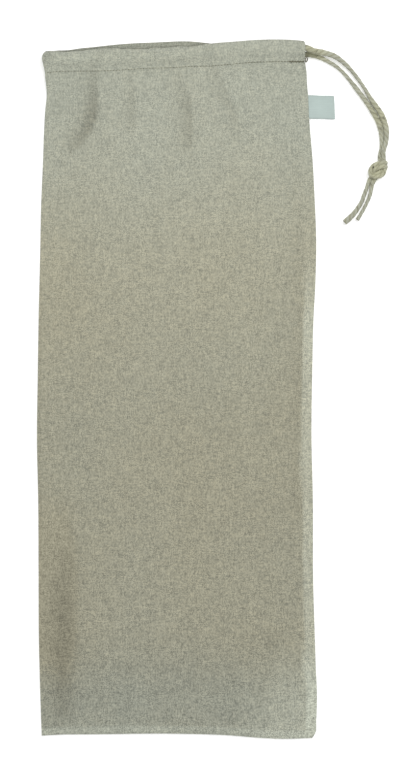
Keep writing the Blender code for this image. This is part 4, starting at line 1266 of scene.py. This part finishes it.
class BREADBAG_OT_stage(bpy.types.Operator):
    """Makes the pale table, the soft lights and the camera straight above the bag"""

    bl_idname = "breadbag.stage"
    bl_label = "Stage"

    def execute(self, context):
        sizes = context.scene.bread_bag.stage
        scene = context.scene
        scene.view_settings.view_transform = "Standard"
        scene.view_settings.look = "None"
        camera = bpy.data.cameras.new("camera")
        camera.sensor_fit = "AUTO"
        camera.sensor_width = SENSOR
        camera.lens = SENSOR * sizes.camera_height / (VIEW_HEIGHT_PIXELS * PIXEL)
        camera.clip_end = 100.0
        view = bpy.data.objects.new("camera", camera)
        view.location = (*VIEW_CENTRE, VIEW_PLANE + sizes.camera_height)
        scene.collection.objects.link(view)
        scene.camera = view

        floor = bpy.data.meshes.new("floor")
        corners = [(-1, -1), (1, -1), (1, 1), (-1, 1)]
        points = [(FLOOR_REACH * x, FLOOR_REACH * y, FLOOR_HEIGHT) for x, y in corners]
        floor.from_pydata(points, [], [(0, 1, 2, 3)])
        floor.materials.append(floor_finish("table_white", sizes.floor_colour, sizes.floor_glow))
        table = bpy.data.objects.new("floor", floor)
        scene.collection.objects.link(table)

        for name, place, size, share in LIGHTS:
            area_light(name, place, size, share * sizes.key)
        world = bpy.data.worlds.new("surroundings")
        world.use_nodes = True
        sky = world.node_tree.nodes["Background"]
        sky.inputs["Color"].default_value = (1.0, 1.0, 1.0, 1.0)
        sky.inputs["Strength"].default_value = sizes.fill
        scene.world = world
        return {"FINISHED"}


class BREADBAG_OT_drawstring(bpy.types.Operator):
    """Twists the drawstring: its run in the casing, and its two strands through the knot to their tails"""

    bl_idname = "breadbag.drawstring"
    bl_label = "Drawstring"

    def execute(self, context):
        sizes = context.scene.bread_bag.cord
        finish = cord_finish("cotton_cord", sizes.colour, sizes.warm_colour, sizes.groove_shade_colour)
        front = strand_route(STRAND_FRONT, 1, TAIL_LEFT)
        back = strand_route(STRAND_BACK, -1, TAIL_RIGHT)
        for name, points in (
            ("drawstring_front", front),
            ("drawstring_back", back),
            ("drawstring_hidden", hidden_route()),
        ):
            grid, crest, place = rope_grid(points, sizes.lay, sizes.radius / CORD_RADIUS)
            rows, columns = grid.shape[:2]
            faces = grid_faces(rows, columns).tolist()
            first_end = np.arange(columns)
            last_end = (rows - 1) * columns + first_end[::-1]
            faces += [first_end.tolist(), last_end.tolist()]
            place = np.concatenate([place, np.zeros((rows, columns, 1))], axis=-1)
            painted_shading, warmth = cord_shading_and_warmth(grid)
            attributes = {
                "crest": ("FLOAT", crest),
                "painted_shading": ("FLOAT", painted_shading),
                "warmth": ("FLOAT", warmth),
                "round_and_along": ("FLOAT_VECTOR", place),
            }
            mesh_piece(name, grid.reshape(-1, 3), faces, finish, attributes)
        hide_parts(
            "drawstring_strand_front", "drawstring_tail_left", "drawstring_knot"
        )
        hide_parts("drawstring_strand_back", "drawstring_tail_right")
        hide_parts("drawstring_in_casing")
        return {"FINISHED"}


def cord_shading_and_warmth(grid):
    """Painted shading and warmth of the cord at each point.

    Painted shade darkens it inside the casing's end, under the knot, in its creases and at its cut ends, and
    painted light brightens the knot and the place above it. It is warmer by the casing, in the knot and where
    the strands come together.
    """
    x, y, z = np.moveaxis(grid, -1, 0)
    inside = EXIT_SHADE * bell(x - EXIT_PLACE, EXIT_WIDTH) * ramp(y, *EXIT_SPAN)
    under = UNDER_KNOT_SHADE * bell(distance(x, y, UNDER_KNOT), UNDER_KNOT_SIZE) * ramp(z, *UNDER_KNOT_SPAN)
    from_end = np.linalg.norm(grid - grid[-1].mean(axis=0), axis=-1)
    painted_shading = (1.0 - inside - under) * (1.0 - CUT_SHADE * bell(from_end, CUT_SHADE_REACH))
    for start, end, width, shade in CORD_CREASES:
        _, away, _ = from_segment(x, y, start, end)
        painted_shading = painted_shading * (1.0 - shade * bell(away, width))
    by_knot = bell(distance(x, y, KNOT_MIDDLE), KNOT_SIZE)
    above_knot = bell(distance(x, y, ABOVE_KNOT), ABOVE_KNOT_SIZE)
    painted_shading = painted_shading * (CORD_TONE + KNOT_GLOW * by_knot + ABOVE_KNOT_GLOW * above_knot)
    meeting = bell(distance(x, y, STRANDS_MEET), STRANDS_MEET_SIZE)
    return painted_shading, np.minimum(ramp(x, *WARM_EXIT_SPAN) + KNOT_WARMTH * by_knot + meeting, 1.0)


def cloth_shading_and_warmth(points):
    """Painted shading and warmth of the linen at each point.

    Painted shade darkens the troughs, the crease by the left fold, the corners, the cloth below the
    stitching, the mouth's edge and the back layer inside the mouth, darkest along the front layer's edge.
    Painted light brightens the cloth over the seam's allowance, where it is doubled, and at the bottom right.
    The cloth grows a little darker with painted shade and warmer away from the mouth.
    """
    x, y, z = points.T
    shade = fold_shade(x, y)
    crease = bell(x - left_side(y) - LEFT_CREASE, LEFT_CREASE_WIDTH)
    crease = crease * ramp(y, *CREASE_TOP) * ramp(y, *CREASE_BOTTOM)
    doubled = allowance(x, y)
    low = ramp(y, *LOW_SPAN)
    from_front = y - mouth_front(x)
    one_layer = smoothstep((stitch_line(x) - y) / ONE_LAYER_REACH)
    corner = bell(distance(x, y, CORNER_PLACE), CORNER_SIZE) + RIGHT_CORNER * ramp(x, *RIGHT_CORNER_SPAN)
    painted_shading = (1.0 - shade) * (1.0 - SHADE_CREASE * crease) * (1.0 + PAINTED_LIGHT_ALLOWANCE * doubled)
    painted_shading = painted_shading * (1.0 - SHADE_BELOW * ramp(y, *BELOW_SPAN)) * (1.0 - SHADE_ONE_LAYER * one_layer)
    painted_shading = painted_shading * (1.0 + low * (GLOW_LOW_RIGHT * ramp(x, *LOW_RIGHT_SPAN) - SHADE_LOW))
    painted_shading = painted_shading * (1.0 - SHADE_CORNER * corner * (1.0 - one_layer))
    painted_shading = painted_shading * (1.0 - SHADE_MOUTH_EDGE * bell(from_front, MOUTH_EDGE_WIDTH))
    left_low = ramp(x, *WARM_LEFT_SPAN) * ramp(y, *WARM_LEFT_TOP) * (1.0 - low)
    warmth = WARMTH + WARMTH_BELOW * ramp(y, *WARM_SPAN) + WARMTH_TROUGH * shade
    warmth = warmth + WARMTH_DOUBLED * doubled + WARMTH_LOW * low + WARMTH_LEFT * left_low
    # painted shade on the back layer inside the mouth
    behind = (z < LINING_HEIGHT * CASING_FULL) & (from_front > LINING_FROM)
    lining_shade = LINING_PAINTED_SHADE - LINING_SHADE * bell(from_front, LINING_SHADE_WIDTH)
    return np.where(behind, lining_shade, painted_shading), warmth


class BREADBAG_OT_cloth(bpy.types.Operator):
    """Lofts the linen pouch with its casing, folds and seams, and sews the casing"""

    bl_idname = "breadbag.cloth"
    bl_label = "Cloth and stitching"

    def execute(self, context):
        sizes = context.scene.bread_bag.cloth
        linen = linen_finish("linen", sizes.colour, sizes.warm_colour, sizes.thread_pitch, sizes.contrast)
        pouch = Pouch(sizes.wall, sizes.casing_depth)
        points, faces = pouch.mesh()
        painted_shading, warmth = cloth_shading_and_warmth(points)
        attributes = {"painted_shading": ("FLOAT", painted_shading), "warmth": ("FLOAT", warmth)}
        bag = mesh_piece("linen_bag", points, faces, linen, attributes)
        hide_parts("bag_cloth")
        stitches = self.sew(pouch, sizes)
        return {"FINISHED"}

    def sew(self, pouch, sizes):
        """The stitches along the casing's lower edge, on both faces of each layer.

        A few are sewn back over the last ones at the right end, where a loop of the same thread hangs out.
        """
        thread = thread_finish("sewing_thread", sizes.thread_colour)
        plain = np.arange(MOUTH_LEFT - STITCH_PAST_LEFT, BACKSTITCH_FROM, STITCH_PITCH)
        back = np.linspace(BACKSTITCH_FROM, MOUTH_RIGHT - BACKSTITCH_STOP, BACKSTITCHES)
        zigzag = BACKSTITCH_SPREAD * np.sin(ZIGZAG_TURN * np.arange(BACKSTITCHES))
        shapes = []
        for places, shift, radius, length in (
            (plain, 0.0, STITCH_RADIUS, STITCH_LENGTH),
            (back, zigzag, BACKSTITCH_RADIUS, BACKSTITCH_LENGTH),
        ):
            for outer in (True, False):
                for front in (True, False):
                    ends = (places, places + length)
                    start, end = (self.seam_line(pouch, x, front, outer, radius) for x in ends)
                    start[:, 1] += shift
                    end[:, 1] -= ZIGZAG_RETURN * shift
                    shapes.append(capsules(start, end, radius, 1.0 if front == outer else -1.0))
        loop = even_points(THREAD_LOOP, LOOP_RADIUS)
        loop_ends = loop[1:] + LOOP_OVERLAP * np.diff(loop, axis=0)
        shapes.append(capsules(loop[:-1], loop_ends, LOOP_RADIUS, LOOP_LIFT))
        points = np.concatenate([shape[0] for shape in shapes])
        faces, first = [], 0
        for shape_points, shape_faces in shapes:
            faces += [[first + corner for corner in face] for face in shape_faces]
            first += len(shape_points)
        stitches = mesh_piece("casing_stitching", points, faces, thread)
        return stitches

    def seam_line(self, pouch, x, front, outer, radius):
        """Points of the stitching line at places across, on the outer or the inner face of a layer."""
        depth = pouch.depth
        if not front:
            height = 2 * radius - STITCH_PROUD if outer else CASING_FLAT
            return np.stack([x, mouth_back(x) - depth, np.full_like(x, height)], axis=1)
        share = (x - MOUTH_LEFT) / (MOUTH_RIGHT - MOUTH_LEFT)
        y = stitch_line(x)
        height = front_inner_height(share, y, depth, 1.0, depth) + (CASING_FLAT if outer else 0.0)
        return np.stack([x, y, height], axis=1)


class BREADBAG_OT_label(bpy.types.Operator):
    """Folds the bare ribbon label and sets it into the right seam"""

    bl_idname = "breadbag.label"
    bl_label = "Side label"

    def execute(self, context):
        sizes = context.scene.bread_bag.label
        turn_radius = (LABEL_OPEN + sizes.thickness) / 2
        turn = np.linspace(-np.pi / 2, np.pi / 2, LABEL_TURNS + 2)[1:-1]
        straight = np.linspace(0.0, LABEL_LENGTH - turn_radius, LABEL_ALONG)
        level = np.zeros_like(straight)
        run = np.concatenate([straight, straight[-1] + turn_radius * np.cos(turn), straight[::-1]])
        height = np.concatenate([level, turn_radius * (1 + np.sin(turn)), level + 2 * turn_radius])
        run, width = np.meshgrid(run, np.linspace(-0.5, 0.5, LABEL_ACROSS), indexing="ij")
        share = run / LABEL_LENGTH
        from_middle = np.abs(2 * width)
        rounding = np.maximum(from_middle - LABEL_CORNER_FROM, 0.0) / (1.0 - LABEL_CORNER_FROM)
        corner = LABEL_CORNER * rounding**2 * share**LABEL_CORNER_POWER
        wave = LABEL_WAVE * np.sin(LABEL_WAVE_TURN * share)
        y = mix(LABEL_ROOT_Y, LABEL_END_Y, share) + width * (LABEL_WIDTH + wave)
        x = right_side(y) + LABEL_GAP + run - corner
        lift = LABEL_LIFT * share**2 * (1 - (LABEL_CROWN * width) ** 2)
        z = LABEL_FLOOR + sizes.thickness / 2 + height[:, None] + lift
        # Painted shade along the ribbon's edges and painted light in its middle
        edge = np.maximum(from_middle - LABEL_EDGE_FROM, 0.0) / (1.0 - LABEL_EDGE_FROM)
        centre = (1 - from_middle**2) * (1 - (2 * share - 1) ** 2)
        painted_shading = LABEL_TONE + LABEL_GLOW * centre - LABEL_EDGE_SHADE * edge
        points = np.stack([x, y, z], axis=-1).reshape(-1, 3)
        faces = grid_faces(*run.shape, closed=False)
        ribbon = ribbon_finish("label_ribbon", sizes.colour)
        label = mesh_piece("label_ribbon", points, faces, ribbon, {"painted_shading": ("FLOAT", painted_shading)})
        solid = label.modifiers.new("thickness", "SOLIDIFY")
        solid.thickness = sizes.thickness
        solid.offset = 0.0
        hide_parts("side_label")
        return {"FINISHED"}


STEPS = (BREADBAG_OT_stage, BREADBAG_OT_drawstring, BREADBAG_OT_cloth, BREADBAG_OT_label)


class BREADBAG_PT_panel(bpy.types.Panel):
    """Lists the bag's sizes and the steps that build it"""

    bl_idname = "BREADBAG_PT_panel"
    bl_label = "Bread bag"
    bl_space_type = "VIEW_3D"
    bl_region_type = "UI"
    bl_category = "Bread bag"

    def draw(self, context):
        bag = context.scene.bread_bag
        for group in (bag.cloth, bag.cord, bag.label, bag.stage):
            box = self.layout.box()
            for name in group.__annotations__:
                box.prop(group, name)
        for step in STEPS:
            self.layout.operator(step.bl_idname)


CLASSES = (ClothSizes, CordSizes, LabelSizes, StageSizes, BreadBag, *STEPS, BREADBAG_PT_panel)


def register():
    for item in CLASSES:
        bpy.utils.register_class(item)
    bpy.types.Scene.bread_bag = bpy.props.PointerProperty(type=BreadBag)


def unregister():
    del bpy.types.Scene.bread_bag
    for item in reversed(CLASSES):
        bpy.utils.unregister_class(item)


def main():
    register()
    bpy.ops.breadbag.stage()
    bpy.ops.breadbag.drawstring()
    bpy.ops.breadbag.cloth()
    bpy.ops.breadbag.label()


if __name__ == "__main__":
    main()
